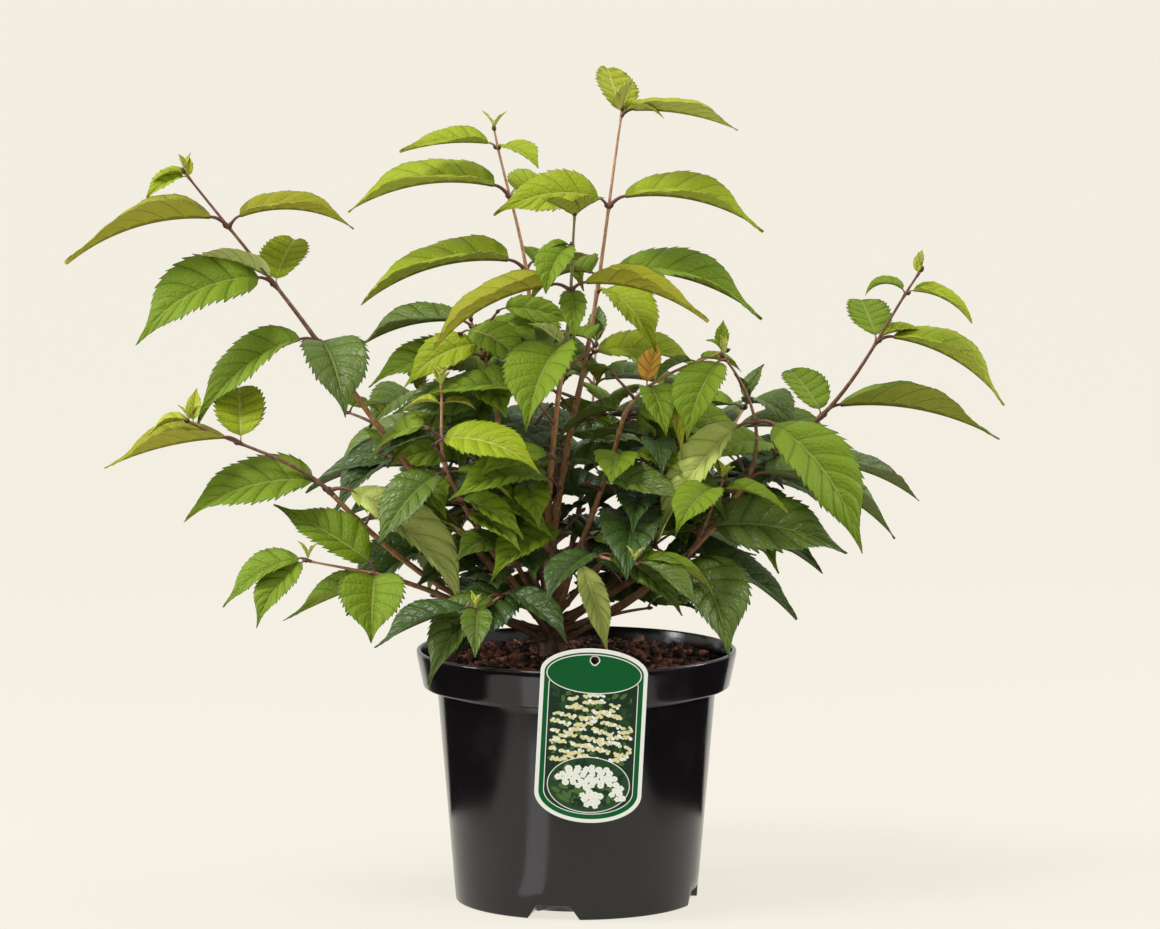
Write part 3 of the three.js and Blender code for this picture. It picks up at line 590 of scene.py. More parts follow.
# %% Rows and columns of a leaf
class LeafGrid:
    """Rows run from foot to tip and columns from the right margin to the left one. `beats` are
    the rows between one side vein and the next: (share of the step, push of the tooth). `before`
    and `after` are the rows below the first vein and above the last, and `half` the columns of
    one half, from the midrib out."""

    CREST, VALLEY, RIB, UNDER, UNDER_VEIN = range(5)
    FIRST, LAST = 0.05, 0.90  # shares of the leaf where its first and last side veins start
    NEAR = 0.1  # a row this near to a vein lies on its flank, as a share of the step
    LOW = 0.09  # a strip whose middle is this near is a valley
    HEM = 0.95  # beyond this share of the half width the margin has the tone of the valleys

    def __init__(self, veins, beats, half, before, after, thickness=0.22):
        self.step = (self.LAST - self.FIRST) / (veins - 1)
        rows = [(s, 0.0, 0.0) for s in before]
        rows += [(self.FIRST + self.step * (i + share), push, share) for i in range(veins - 1)
                 for share, push in beats]
        rows += [(s, push, 0.0) for s, push in after]
        self.along, self.tooth, self.phase = np.array(rows).T
        self.across = np.array([-v for v in reversed(half)] + [0.0] + list(half))
        self.thickness = thickness
        near = (self.phase > 1 - self.NEAR) | ((self.phase > 0) & (self.phase < self.NEAR))
        self.on_vein = near[:, None]
        count, columns = len(rows), len(self.across)
        strips, inner = columns - 1, columns - 2
        top = 1 + np.arange(count * columns).reshape(count, columns)
        under = top.copy()
        under[:, 1:-1] = 1 + count * columns + np.arange(count * inner).reshape(count, inner)
        foot = np.zeros(strips, int)
        tip = foot + 1 + count * (columns + inner)
        quads = [np.stack([sheet[:-1, :-1], sheet[1:, :-1], sheet[1:, 1:], sheet[:-1, 1:]], -1)
                 for sheet in (top, under)]
        self.quads = np.concatenate([quads[0], quads[1][..., [0, 3, 2, 1]]]).reshape(-1, 4)
        self.triangles = np.concatenate([
            np.stack([foot, top[0, :-1], top[0, 1:]], 1),
            np.stack([foot, under[0, 1:], under[0, :-1]], 1),
            np.stack([top[-1, :-1], tip, top[-1, 1:]], 1),
            np.stack([under[-1, 1:], tip, under[-1, :-1]], 1)])
        # A strip that has a vein in it is the short one between the last beat and the first.
        vein = (self.phase[:-1] > 1 - self.NEAR) & (self.phase[1:] < self.NEAR)
        low = vein | ((self.phase[:-1] + self.phase[1:]) / 2 < self.LOW)
        # Valleys and the veins below get the darker tones: painted shade along the veins.
        kinds = np.repeat(np.where(low, self.VALLEY, self.CREST)[:, None], strips, 1)
        centre = np.abs(self.across[:-1] + self.across[1:]) / 2
        kinds[:, centre > self.HEM] = self.VALLEY
        kinds[:, centre < half[0]] = self.RIB
        below = np.where(vein[:, None] | (kinds == self.RIB), self.UNDER_VEIN, self.UNDER)
        self.finish = {4: np.concatenate([kinds.ravel(), below.ravel()]),
                       3: np.repeat([self.CREST, self.UNDER, self.CREST, self.UNDER], strips)}


LARGE = LeafGrid(8, [(0.035, 0.9), (0.11, -1), (0.333, 1), (0.40, -0.9), (0.667, 1),
                     (0.735, -0.9), (0.965, 0.9)], [0.035, 0.2, 0.4, 0.62, 0.82, 0.94, 1],
                 [0.012, 0.03], [(0.915, -0.8), (0.935, 0.7), (0.955, 0), (0.975, 0), (0.99, 0)],
                 thickness=0.3)
SMALL = LeafGrid(6, [(0.04, 0.8), (0.13, -1), (0.5, 1), (0.58, -0.9), (0.96, 0.9)],
                 [0.05, 0.3, 0.62, 0.9, 1], [0.02], [(0.93, 0), (0.965, 0), (0.985, 0)])
TINY = LeafGrid(4, [(0.05, 0.7), (0.5, -0.5), (0.95, 0.7)], [0.08, 0.55, 1], [0.02], [(0.96, 0)])
for label, grid in (("large", LARGE), ("small", SMALL), ("tiny", TINY)):
    print(f"{label} leaf: {2 * len(grid.quads) + len(grid.triangles)} triangles")

# %% [markdown]
# ## Leaves: the shape of one blade
#
# The midrib is an arc in an upright plane, as in the solids. Across it each half of the blade
# rises from the midrib and rolls over to the margin. The outline is round at the foot,
# widest below the middle and drawn out to a long point. A leaf also turns a little about its
# midrib and ripples along its margins, by seeded amounts, so that no two are alike.


# %% Where a leaf's midrib lies
UPRIGHT = np.array([0, 0, 1.0])


def sloping(level, slope):
    """A level way lifted by a slope: level·cos(slope) + upright·sin(slope)."""
    return level * np.cos(slope) + UPRIGHT * np.sin(slope)


def levelled(azimuth):
    """The level way at an angle from X."""
    return np.array([math.cos(azimuth), math.sin(azimuth), 0])


class LeafPlace:
    """Where a leaf stands: its heading, lift, length, droop, facing and width, the last three
    being the usual ones if not given. Its midrib is an arc of slope(t) = lift - droop·t. Along it,
    `side` points to the left margin and `up` out of the upper face, both rolled to the light."""

    def __init__(self, root, leaf, turn=0.0):
        usual = (0, 0, 0, LEAF["droop"], LEAF["facing"], LEAF["width"])
        heading, lift, self.length, droop, self.facing, self.width = (*leaf, *usual[len(leaf):])
        self.out = levelled(math.radians(heading + turn))
        self.across = np.cross(UPRIGHT, self.out)
        self.roll = math.radians(self.facing) * self.out[0]
        self.cupped = self.length < 40 and self.width >= 0.75  # a young broad leaf is a round cup
        self.lift, self.bend = math.radians(lift), math.radians(max(droop, 0.5))
        self.root = root
        self.stalk_way = sloping(self.out, self.lift + math.radians(LEAF["rise"]))
        self.foot = self.root + self.stalk_way * LEAF["stalk"] * self.length

    def slope(self, t):
        return self.lift - self.bend * t

    def midrib(self, t):
        """foot + out · L/bend · (sin slope(0) - sin slope(t)) + rise · L/bend · (cos slope(t) -
        cos slope(0)): the sum of short steps of the length L along the changing slope."""
        t = np.asarray(t, float)
        start, slope, size = self.slope(0), self.slope(t), self.length / self.bend
        reach = size * (math.sin(start) - np.sin(slope))
        rise = size * (np.cos(slope) - math.cos(start))
        return self.foot + reach[..., None] * self.out + rise[..., None] * UPRIGHT

    def frame(self, t, twist=0.0):
        """Forward, side and up at a share t of the midrib."""
        slope = self.slope(np.asarray(t, float)[..., None])
        forward = sloping(self.out, slope)
        above = UPRIGHT * np.cos(slope) - self.out * np.sin(slope)
        roll = self.roll + twist
        side = self.across * np.cos(roll) + above * np.sin(roll)
        return forward, side, above * np.cos(roll) - self.across * np.sin(roll)

    def outline(self, t):
        """Half the width at t: that of the solid leaf, narrowed to a long point by a smooth step
        of 0.55 from t = 0.62 to 0.9. A young leaf keeps a blunter tip, and a cup is round: half
        its width is W/2·L·sqrt(4·t·(1 - t))."""
        if self.cupped:
            return self.width / 2 * self.length * np.sqrt(4 * t * (1 - t))
        drawn = (0.55 if self.length > 44 else 0.3) * smooth_step((t - 0.62) / 0.28)
        return self.plain_outline(t) * (1 - drawn)

    def plain_outline(self, t):
        """Half the width of the solid leaf at t: W/2·L·sin(π·t^0.72)^0.8·(1 - 0.35·t⁴)."""
        body = np.sin(np.pi * t ** 0.72).clip(0) ** 0.8 * (1 - 0.35 * t ** 4)
        return self.width / 2 * self.length * body


# %% One blade
SWEEP, CUP_SWEEP = 0.23, 0.05  # how far the rows lead forward to the margin, by the length
TOOTH_ON, TOOTH_OUT = 0.015, 0.07  # how far a tooth points on, by length, and out, by half width
PLEAT, RIPPLE = 0.22, 0.022  # height of a pleat by the veins' spacing, of the wave by the length
TWIST = math.radians(12)  # how far a blade's tip may twist, and a shy leaf turns to the light
RIDGE, VEIN_RIDGE = 0.008, 0.16  # the midrib below, by the length, and a side vein in millimetres


def folded(place, shy, curl):
    """How steeply a half rises from the midrib and how much it rolls back, by its own width. A
    cup only rises, a very young leaf is steep, and a grown one varies by its facing and seed."""
    if place.cupped:
        return 0.28, 0.0
    if place.length < 34:
        return 0.6, 0.12
    return 0.44 + 0.22 * shy + 0.06 * curl, 0.26 - 0.07 * shy + 0.06 * curl


def blade(batch, place, grid, chance, base, number):
    """P(S, V) = midrib(T) + side·lateral + up·height.
    T = S + sweep·|V|·sin(π·S) leads the rows forward like veins.
    lateral = V·outline(T), pushed out and in by the teeth.
    height = outline·(rise·|V| - roll·V²) + pleats between the veins + a slow wave at the margin.
    A leaf that hardly faces the light folds up more and is rolled back as much, which leaves its
    far margin where it was, and a round cup's tip curls up too. The underside is the same sheet
    a thickness lower, with ridges below midrib and veins."""
    twist, phase, curl = chance.uniform(-1, 1), chance.uniform(0, 1), chance.uniform(-1, 1)
    s, v = grid.along[:, None], grid.across[None, :]
    far, rib = np.abs(v), v == 0
    push = grid.tooth[:, None] * far ** 8
    sweep = CUP_SWEEP if place.cupped else SWEEP
    t = np.clip(s + sweep * far * np.sin(np.pi * s) + TOOTH_ON * push, 0.002, 0.998)
    half = place.outline(t)
    shy = np.clip((38 - place.facing) / 20, 0, 1)
    rise, rolled = folded(place, shy, curl)
    narrower = 1 / math.hypot(1, 0.85 * (rise - rolled))
    lateral = v * half * narrower * (1 + TOOTH_OUT * push)
    swell = np.sin(np.pi * grid.phase[:, None]).clip(0) ** 0.8
    across_swell = (1 - np.exp(-far / 0.1)) * (1 - 0.55 * far ** 2)
    pleats = PLEAT * grid.step * place.length * swell * across_swell
    pleats = pleats * np.sqrt(half / (half.max() + 1e-9))
    wave = RIPPLE * place.length * far ** 2 * np.sin(2 * np.pi * (1.3 * t + phase))
    height = half * (rise * far - rolled * far ** 2) + pleats + wave
    if place.cupped:
        height = height + 0.14 * place.length * (t - 0.3).clip(0) ** 2
    height = height - rib * 0.004 * place.length * (1 - 0.7 * s)
    turned = TWIST * (twist * t[..., None] ** 1.5 - shy * place.out[0])
    forward, side, up = place.frame(t, turned)
    top = place.midrib(t) + side * lateral[..., None] + up * height[..., None]
    ridge = np.where(rib, RIDGE * place.length * (1 - 0.75 * s), VEIN_RIDGE * grid.on_vein)
    depth = grid.thickness * (1 - far ** 6) + ridge * (far < 1)
    under = (top - up * depth[..., None])[:, 1:-1]
    ends = place.midrib(np.array([0.0, 1.0]))
    points = np.concatenate([ends[:1], top.reshape(-1, 3), under.reshape(-1, 3), ends[1:]])
    flat = np.stack([lateral, s * place.length + 0 * v, 0 * lateral + number * 20.0], -1)
    straight = np.concatenate([flat[:1, 0] * 0, flat.reshape(-1, 3),
                               flat[:, 1:-1].reshape(-1, 3), flat[-1:, 0]])
    finish = {sides: kinds + base for sides, kinds in grid.finish.items()}
    batch.add(points, grid.quads, grid.triangles, finish, straight)


# %% One stalk
def stalk(batch, place, finish):
    """A tube along a Hermite curve: it leaves the stem steeply, ends along the blade and runs
    on a little way under the midrib. It is thickest where it leaves the stem."""
    size = np.clip(place.length / 80, 0.45, 1.1)
    x = np.linspace(0, 1, 7)[:, None]
    span = np.linalg.norm(place.foot - place.root)
    leaving = unit(place.stalk_way + 0.5 * UPRIGHT) * span
    arriving = place.frame(0.0)[0] * span
    path = ((2 * x**3 - 3 * x**2 + 1) * place.root + (x**3 - 2 * x**2 + x) * leaving
            + (3 * x**2 - 2 * x**3) * place.foot + (x**3 - x**2) * arriving)
    run = np.array([0.03, 0.08])
    path = np.concatenate([path, place.midrib(run) - place.frame(run)[2] * 0.35 * size])
    along = np.linspace(0, 1, len(path))
    radii = size * (1.15 - 0.4 * along) * (1 + 0.5 * np.exp(-along / 0.12))
    radii[-2:] = size * np.array([0.55, 0.2])
    tube(batch, path, radii, 7, finish)


print("leaf and stalk shapes ready")

# %% [markdown]
# ## Leaf tones
#
# The youngest leaves are yellow-green, leaves in full light a fresh green, and older leaves in
# the heart of the shrub dark green; the darkest tone, shade, is painted shade for leaves deep
# in the shrub. Under each leaf the tone is paler. One tone is three upper finishes, for crest,
# valley and midrib, and two under ones. The valley is darker than the crest and the under vein
# darker than the underside: painted shade in the creases and beside the raised veins. All
# share the same netting of fine veins and differ only in plain numbers, so they are made in a
# loop.

# %% Make the tones
# Valley and under vein are darker tones, painted shade along the veins; the shade row is painted
# shade for leaves deep in the shrub.
TONES = {
    #          crest            valley           midrib           under            under vein
    "young": ((158, 166, 44), (138, 148, 32), (182, 182, 104), (180, 184, 90), (144, 144, 60)),
    "fresh": ((138, 154, 24), (118, 136, 16), (168, 172, 82), (170, 180, 68), (130, 136, 42)),
    "olive": ((136, 138, 24), (118, 122, 16), (160, 156, 72), (168, 166, 54), (132, 128, 38)),
    "leafy": ((106, 130, 22), (87, 111, 14), (136, 146, 66), (142, 152, 52), (108, 116, 38)),
    "mature": ((82, 104, 26), (63, 84, 18), (106, 122, 54), (102, 116, 46), (78, 90, 32)),
    "shade": ((56, 80, 28), (41, 63, 20), (82, 100, 48), (84, 98, 46), (60, 72, 32)),
    "amber": ((214, 166, 66), (168, 116, 44), (206, 164, 96), (200, 168, 86), (146, 118, 54)),
    "pale": ((172, 184, 98), (148, 162, 76), (200, 204, 146), (184, 192, 120), (146, 154, 82)),
}
TONE_ORDER = list(TONES)
SKIN = {  # roughness, and depth of the bump in metres
    "crest": (0.50, 0.00045),
    "valley": (0.54, 0.0003),
    "rib": (0.56, 0.0001),
    "under": (0.70, 0.0003),
    "under_vein": (0.68, 0.0001),
}


def leaf_finish(name, base, roughness, depth, shine):
    """A leaf's skin: a plain colour, netted fine veins in its bump, and gloss that follows them."""
    finish = Finish(name, base, roughness, "straight", Specular_IOR_Level=shine)
    effect = finish.effect(netting, Scale=340.0)
    finish.rough(effect["Gloss"], roughness + 0.12, roughness - 0.06)
    finish.relief(effect["Height"], depth, 0.6)
    return finish.material


leaf_skins = []
for tone, colours in TONES.items():
    # Old leaves shine, and young ones are soft with fine hairs.
    rougher, shine = (-0.08, 0.42) if tone in ("mature", "shade") else (0.08, 0.22)
    for (part, (roughness, depth)), base in zip(SKIN.items(), colours):
        leaf_skins.append(leaf_finish(f"leaf_{tone}_{part}", base, roughness + rougher, depth,
                                      shine))
print("leaf finishes:", len(leaf_skins))

# %% [markdown]
# ## Grow the foliage
#
# A leaf in the solids was turned a little where it would have touched another piece, and left
# off where no turn freed it. Its solid shows which turn it took: the right one puts the leaf's
# tip and margins on the solid's surface. So each planned leaf tries the turns in their order
# against its shoot's node, which keeps the fine leaves exactly over the plain ones.


# %% Find the turn that each solid leaf took
def surface_of(node):
    """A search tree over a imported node's faces, in millimetres."""
    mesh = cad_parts[node].data
    corners = [vertex.co / MM for vertex in mesh.vertices]
    return BVHTree.FromPolygons(corners, [tuple(face.vertices) for face in mesh.polygons])


def probes(place):
    """The tip, and the two margins at one of the solid leaf's own stations."""
    t = 0.7 if place.length < 48 else 0.45
    side, up = place.frame(t)[1:]
    half, fold = place.plain_outline(t), math.radians(15)
    edges = [place.midrib(t) + sign * side * half * math.cos(fold) + up * half * math.sin(fold)
             for sign in (1, -1)]
    return [place.midrib(1.0), *edges]


def settled(root, leaf, surface):
    """The turn whose probes lie nearest to the surface: how far they are from it in all, the
    leaf's place and the turn."""
    tried = []
    for turn in LEAF["turns"]:
        place = LeafPlace(root, leaf, turn)
        tried.append((sum(surface.find_nearest(Vector(p))[3] for p in probes(place)), place, turn))
    return min(tried, key=lambda one: one[0])


GROUPS = {
    "crown": ("leader", "left_leader", "centre", "left_high", "right_inner"),
    "left": ("left_upper", "left_middle", "left_low", "left_inner"),
    "right": ("right_upper", "right_middle", "right_low", "right_outer"),
    "heart": ("left_core", "right_core", "left_front", "right_front"),
    "back": ("back_left", "back", "back_right", "back_low", "left_side", "right_side"),
}
group_of = {shoot: label for label, shoots in GROUPS.items() for shoot in shoots}
leaf_batches = {label: Batch() for label in GROUPS}
chance = np.random.default_rng(11)

FOUND = 1.5  # a leaf is in the solid if its three probes are this near in all
planned, grown, turned = 0, [], 0
for shoot in SHOOTS:
    surface = surface_of(shoot["name"] + "_foliage")
    for share, *leaves in shoot["nodes"]:
        root = bezier(shoot["curve"], share)[0]
        for order, leaf in enumerate(leaves):
            planned += 1
            away, place, turn = settled(root, leaf, surface)
            if away < FOUND:
                grown.append((shoot, share, order, place))
                turned += turn != 0
print(f"leaves: {planned} planned, {len(grown)} found in the solids, {turned} of them turned")


# %% Lay the blades and stalks
STALK_FINISH, GREEN_FINISH, BUD_FINISH = range(3)
STEM_FINISH = {"tan": 3, "plum": 4, "green": 5}
LARGE_FROM, SMALL_FROM = 46, 18  # the lengths from which a leaf is laid on the finer grids
STRAY = 0.16  # share of the leaves that take the tone next to theirs
twigs = Batch()


def tone_at(shoot, share, order, length, chance):
    """The tone that the plan paints this leaf, or else the shoot's own tone at that share of its
    length: older leaves are lower down. A few green ones of those stray to the tone next to it."""
    painted = shoot.get("paint", {}).get(share, "").split()
    if order < len(painted):
        return painted[order]
    tones = shoot["tones"].split()
    tone = tones[min(int(share * len(tones)), len(tones) - 1)]
    if length < 30 and tone in ("fresh", "olive"):
        tone = "young"
    if chance.random() < STRAY and tone in ("leafy", "mature"):
        tone = TONE_ORDER[TONE_ORDER.index(tone) + chance.choice([-1, 1])]
    return "fresh" if tone == "olive" else tone


def lay_leaf(batch, place, tone, number, large=LARGE_FROM):
    """A blade on the grid that suits its length, and its stalk. Narrow pale leaves are rolled
    further round, so that the light falls on their upper face."""
    if tone == "pale" and place.width < 0.5:
        place.roll += math.copysign(math.radians(34), place.out[0])
    grid = LARGE if place.length >= large else SMALL if place.length >= SMALL_FROM else TINY
    blade(batch, place, grid, chance, TONE_ORDER.index(tone) * len(SKIN), number)
    young = tone in ("young", "fresh") and place.length < 60
    stalk(twigs, place, GREEN_FINISH if young else STALK_FINISH)


for number, (shoot, share, order, place) in enumerate(grown):
    tone = tone_at(shoot, share, order, place.length, chance)
    lay_leaf(leaf_batches[group_of[shoot["name"]]], place, tone, number)
print("blades:", {label: batch.triangles() for label, batch in leaf_batches.items()})

# %% [markdown]
# ## Stems and buds
#
# A shoot's stem thickens at each node, where a line joins the two stalks, and thins towards its
# tip. A small pointed bud sits in each larger leaf's armpit. The tip ends in one more bud and a
# pair of tiny leaves that still stand steep. Stems and buds are rings carried along paths.


# %% Stems that swell at their nodes
def stem(shoot):
    """A tube of radius r(s) = (foot + (tip - foot)·s^0.6)·(1 + 0.42·bell at each node), a bell
    being exp(-(d/1.8 mm)²) with d the way along the stem from the node."""
    shares = np.linspace(0, 1, 70)
    path = bezier(shoot["curve"], shares)
    length = lengths(path)
    radii = shoot["radius"] + (STEM_TIP - shoot["radius"]) * shares ** 0.6
    for node in shoot["nodes"]:
        bell = np.exp(-((length - np.interp(node[0], shares, length)) / 1.8) ** 2)
        radii = radii * (1 + 0.42 * bell)
    path[0] -= unit(path[1] - path[0]) * 0.6  # set into the bough
    angle = around(10)
    relief = 0.035 * np.sin(2 * angle + 1.3) + 0.02 * np.sin(length[:, None] * 0.9 + 3 * angle)
    tube(twigs, path, radii, len(angle), STEM_FINISH[shoot["stem"]], relief)


def bud(root, way, size):
    """A pointed egg: a tube of radius 0.34·size·sin(π·(0.08 + 0.9·s)^0.8)^0.8, widest low down."""
    share = np.linspace(0, 1, 6)
    path = root + way * (share * size)[:, None]
    radii = 0.34 * size * np.sin(np.pi * (0.08 + 0.9 * share) ** 0.8).clip(0.03) ** 0.8
    tube(twigs, path, radii, 6, BUD_FINISH)


def furled(batch, apex, size, heading, number):
    """Two steep young leaves that stand face to face at the growing tip."""
    for turn in (0, 180):
        place = LeafPlace(apex, (heading + turn, 66, size, 26, 0, 0.34))
        blade(batch, place, TINY, chance, TONE_ORDER.index("young") * len(SKIN), number)


for index, shoot in enumerate(SHOOTS):
    stem(shoot)
    apex, way = shoot["curve"][-1], heading_of(shoot["curve"], 1)
    bud(apex - way * 0.4, way, 4.2)
    furled(leaf_batches[group_of[shoot["name"]]], apex, 11 + 3 * chance.random(),
           360 * chance.random(), 900 + index)
for shoot, share, order, place in grown:
    if share < 0.95 and place.length > 30:
        way = unit(heading_of(shoot["curve"], share) + 0.45 * place.out)
        bud(place.root + place.out * 1.1, way, 3.4)
print("stems, stalks and buds:", twigs.triangles(), "triangles")

# %% [markdown]
# ## Finer growth in the heart
#
# Between the long shoots the real shrub is filled with short side twigs, each with a leaf or
# two, darker where less light comes. They are grown here along boughs and shoots by a seeded
# rule. A leaf stays only where a rough card in its place touches no solid and no other card,
# so that the leaves keep clear of one another and the place where sky shows stays open.

# %% Where side twigs may grow
HEART = dict(centre=(-14, 4, 250), reach=(130, 88, 98))

# Where nothing grows in front: x from and to, z from and to, and up to which y. The first is the
# trunk, the second a young leaf that would be hidden, and the third a place where sky shows.
OPEN = ((-13, 16, 150, 325, 10), (20, 72, 280, 350, -10), (24, 120, 292, 360, 90))


def in_heart(point):
    return np.linalg.norm((point - HEART["centre"]) / np.array(HEART["reach"])) < 1


def grows_well(place):
    """A side leaf stays within the heart and out of the open places."""
    x, y, z = place.midrib(np.array([0.15, 0.5, 0.85])).T
    return in_heart(place.midrib(0.8)) and not any(
        ((x > left) & (x < right) & (z > low) & (z < high) & (y < back)).any()
        for left, right, low, high, back in OPEN)


def card(place):
    """A search tree over a leaf as a rough card of 3 rows, which stands for the blade while
    clashes are looked for. Its points are the stalk's two ends, the left margin, the right one,
    the middle and the tip."""
    t = np.array([0.12, 0.4, 0.8])
    side, up = place.frame(t)[1:]
    centre, half = place.midrib(t), place.outline(t)[:, None]
    margins = [centre + sign * side * half + up * half * 0.15 for sign in (1, -1)]
    points = np.concatenate([[place.root, place.foot], *margins, centre, [place.midrib(1.0)]])
    left, right, mid, tip = 2, 5, 8, 11
    faces = [(1, left, mid), (1, mid, right), (0, 1, left), (0, right, 1)]
    for k in range(2):
        faces += [(left + k, left + k + 1, mid + k + 1, mid + k),
                  (mid + k, mid + k + 1, right + k + 1, right + k)]
    faces += [(left + 2, tip, mid + 2), (mid + 2, tip, right + 2)]
    return BVHTree.FromPolygons([Vector(p) for p in points], faces)


# %% Grow side twigs
sprout = np.random.default_rng(5)
TRIES = 9  # at each start


def side_twig(root, radius):
    """One try at a twig: its way, its end and the places of a pair of leaves on it."""
    heading, lift, reach = sprout.uniform(0, 360), sprout.uniform(-5, 50), sprout.uniform(8, 26)
    way = sloping(levelled(math.radians(heading)), math.radians(lift))
    end = root + way * (radius + reach) + 2 * UPRIGHT
    size, spread = sprout.uniform(44, 84), sprout.uniform(60, 100)
    pair = [LeafPlace(end, (heading + side * spread, sprout.uniform(-12, 16), size,
                            sprout.uniform(18, 50), sprout.uniform(24, 50))) for side in (1, -1)]
    return way, end, pair


solid_trees = [surface_of(node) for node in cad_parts]
starts = [(curve, bough_radii[name][0], share) for name, curve in bough_curves.items()
          for share in np.arange(0.26, 0.99, 0.06)]
starts += [(shoot["curve"], shoot["radius"], share) for shoot in SHOOTS
           for share in np.arange(0.1, 0.8, 0.11)]
spurs, spur_trees, tries = [], [], 0
for curve, radius, share in starts:
    root = bezier(curve, share)[0]
    if not in_heart(root):
        continue
    for attempt in range(TRIES):
        tries += 1
        way, end, pair = side_twig(root, radius)
        kept = []
        for place in pair:
            tree = card(place)
            if grows_well(place) and not any(tree.overlap(o) for o in solid_trees + spur_trees):
                kept.append((place, tree))
        if kept:
            spurs.append((root, way, end, [place for place, tree in kept]))
            spur_trees += [tree for place, tree in kept]
            break
print(f"side twigs: {len(spurs)} after {tries} tries, with {len(spur_trees)} leaves")


# %% Lay the side twigs
SIDE = -20  # x that parts the left twigs' leaves from the right ones'
TWIG_TONES = ((0.25, "shade"), (0.5, "mature"), (1.1, "leafy"), (math.inf, "fresh"))


def twig_tone(foot):
    """The tone for how much light reaches a leaf: more high up and in front, less low on the left,
    and a little by chance."""
    x, y, z = foot
    light = (z - 165) / 190 - y / 220 + chance.uniform(-0.45, 0.45) - 0.25 * (x < SIDE and z < 235)
    return next(tone for limit, tone in TWIG_TONES if light < limit)


for label in ("left_twig", "right_twig"):
    leaf_batches[label], GROUPS[label] = Batch(), GROUPS["heart"]
for number, (start, way, end, leaves) in enumerate(spurs):
    path = bezier([start, (start + end) / 2 + UPRIGHT, end], np.linspace(0, 1, 9))
    tube(twigs, path, np.linspace(1.15, 0.75, 9), 7, STEM_FINISH["plum"])
    bud(end, way, 3.6)
    for leaf in leaves:
        batch = leaf_batches["left_twig" if leaf.foot[0] < SIDE else "right_twig"]
        lay_leaf(batch, leaf, twig_tone(leaf.foot), 1000 + 2 * number, large=62)
for label, batch in leaf_batches.items():
    nodes = [name + "_foliage" for name in GROUPS[label]]
    piece(f"{label}_leaves", batch, leaf_skins, "leaf", *nodes)

# %% [markdown]
# ## Bark
#
# Young stems of this shrub are smooth and tan to reddish, older boughs brown with fine long
# fissures, pale breathing pores and a ring scar where each old pair of leaves stood. The
# relief that casts a shadow is in the mesh, and the finer grain is in the material. The
# grain reads the `straight` coordinate, so it runs along each limb however the limb bends.


# %% Bark finishes
def bark_finish(name, base, dark, pale, roughness, depth, painted_shade=None):
    """Grain along the limb, pale blotches and, where asked for, painted shade: a darker colour low
    down.
    """
    finish = Finish(name, base, roughness, "straight")
    grain = finish.effect(fissures, Scale=1100.0)
    finish.tint(grain["Mask"], dark, 0.7)
    finish.tint(finish.blotches(260.0, 0.52, 0.66), pale, 0.55)
    finish.rough(grain["Height"], roughness + 0.12, roughness - 0.08)
    finish.relief(grain["Height"], depth, 0.8)
    if painted_shade:
        # Painted shade: a darker colour mixed in from 0.235 m down to 0.170 m up.
        finish.sink(painted_shade, 0.235, 0.170)
    return finish.material


TWIG_BARK = {  # base, dark grain, pale blotches and roughness, in the order of the finishes
    "stalk_red_brown": ((104, 62, 48), (68, 40, 34), (134, 100, 64), 0.5),
    "stalk_green": ((146, 132, 72), (144, 92, 62), (166, 164, 98), 0.5),
    "bud_brown": ((86, 54, 36), (54, 36, 28), (126, 100, 60), 0.55),
    "stem_tan": ((176, 132, 100), (128, 84, 64), (206, 168, 134), 0.55),
    "stem_plum": ((118, 80, 62), (80, 52, 44), (158, 124, 96), 0.5),
    "stem_green": ((116, 108, 62), (88, 68, 46), (146, 140, 86), 0.5),
}
twig_skins = [bark_finish(name, *bark, depth=0.0001) for name, bark in TWIG_BARK.items()]
foliage_nodes = [shoot["name"] + "_foliage" for shoot in SHOOTS]
piece("twigs", twigs, twig_skins, "bark", *foliage_nodes)

# %% Boughs with ridges and scars
boughs = Batch()
grower = np.random.default_rng(3)
SCAR, SCAR_WIDTH = 0.26, 1.5  # height of a ring scar by the radius, and its width in millimetres


def bough(curve, radii):
    """r(s, a) = lerp(foot, tip)·(1 + ridges + scars): ridges are sines of 2, 3 and 5 times the
    angle that drift along the limb, scars are bells every 20 to 34 mm."""
    shares = np.linspace(0, 1, 90)
    path = bezier(curve, shares)
    path[0] -= unit(path[1] - path[0]) * 1.2  # set into the stock, and into the shoot
    path[-1] += unit(path[-1] - path[-2]) * 0.6
    length, angle = lengths(path)[:, None], around(14)
    relief = 0.0
    for waves, size, drift in ((2, 0.045, 0.05), (3, 0.035, 0.11), (5, 0.02, 0.3)):
        relief = relief + size * np.sin(waves * angle + drift * length + grower.uniform(0, 6))
    at = grower.uniform(8, 20)
    while at < length[-1] - 6:
        bell = np.exp(-((length - at) / SCAR_WIDTH) ** 2)
        relief += SCAR * bell * (1 + 0.3 * np.cos(2 * angle))
        at += grower.uniform(20, 34)
    tube(boughs, path, radii[0] + (radii[1] - radii[0]) * shares, len(angle), 0, relief)


for name, curve in bough_curves.items():
    bough(curve, bough_radii[name])
# The boughs darken low down, towards the stock: painted shade under the leaves.
bark = bark_finish("bough_bark", (166, 120, 72), (102, 68, 44), (198, 160, 112), 0.62, 0.0003,
                   painted_shade=(74, 48, 34))
piece("bough_bark", boughs, [bark], "bark", *(name + "_bough" for name in bough_curves))

# %% Trunk
stock = Batch()
DOME = dict(reach=(0.93, 0.75, 0.4), rise=(0.8, 1.5, 1.9))  # rings that close the top


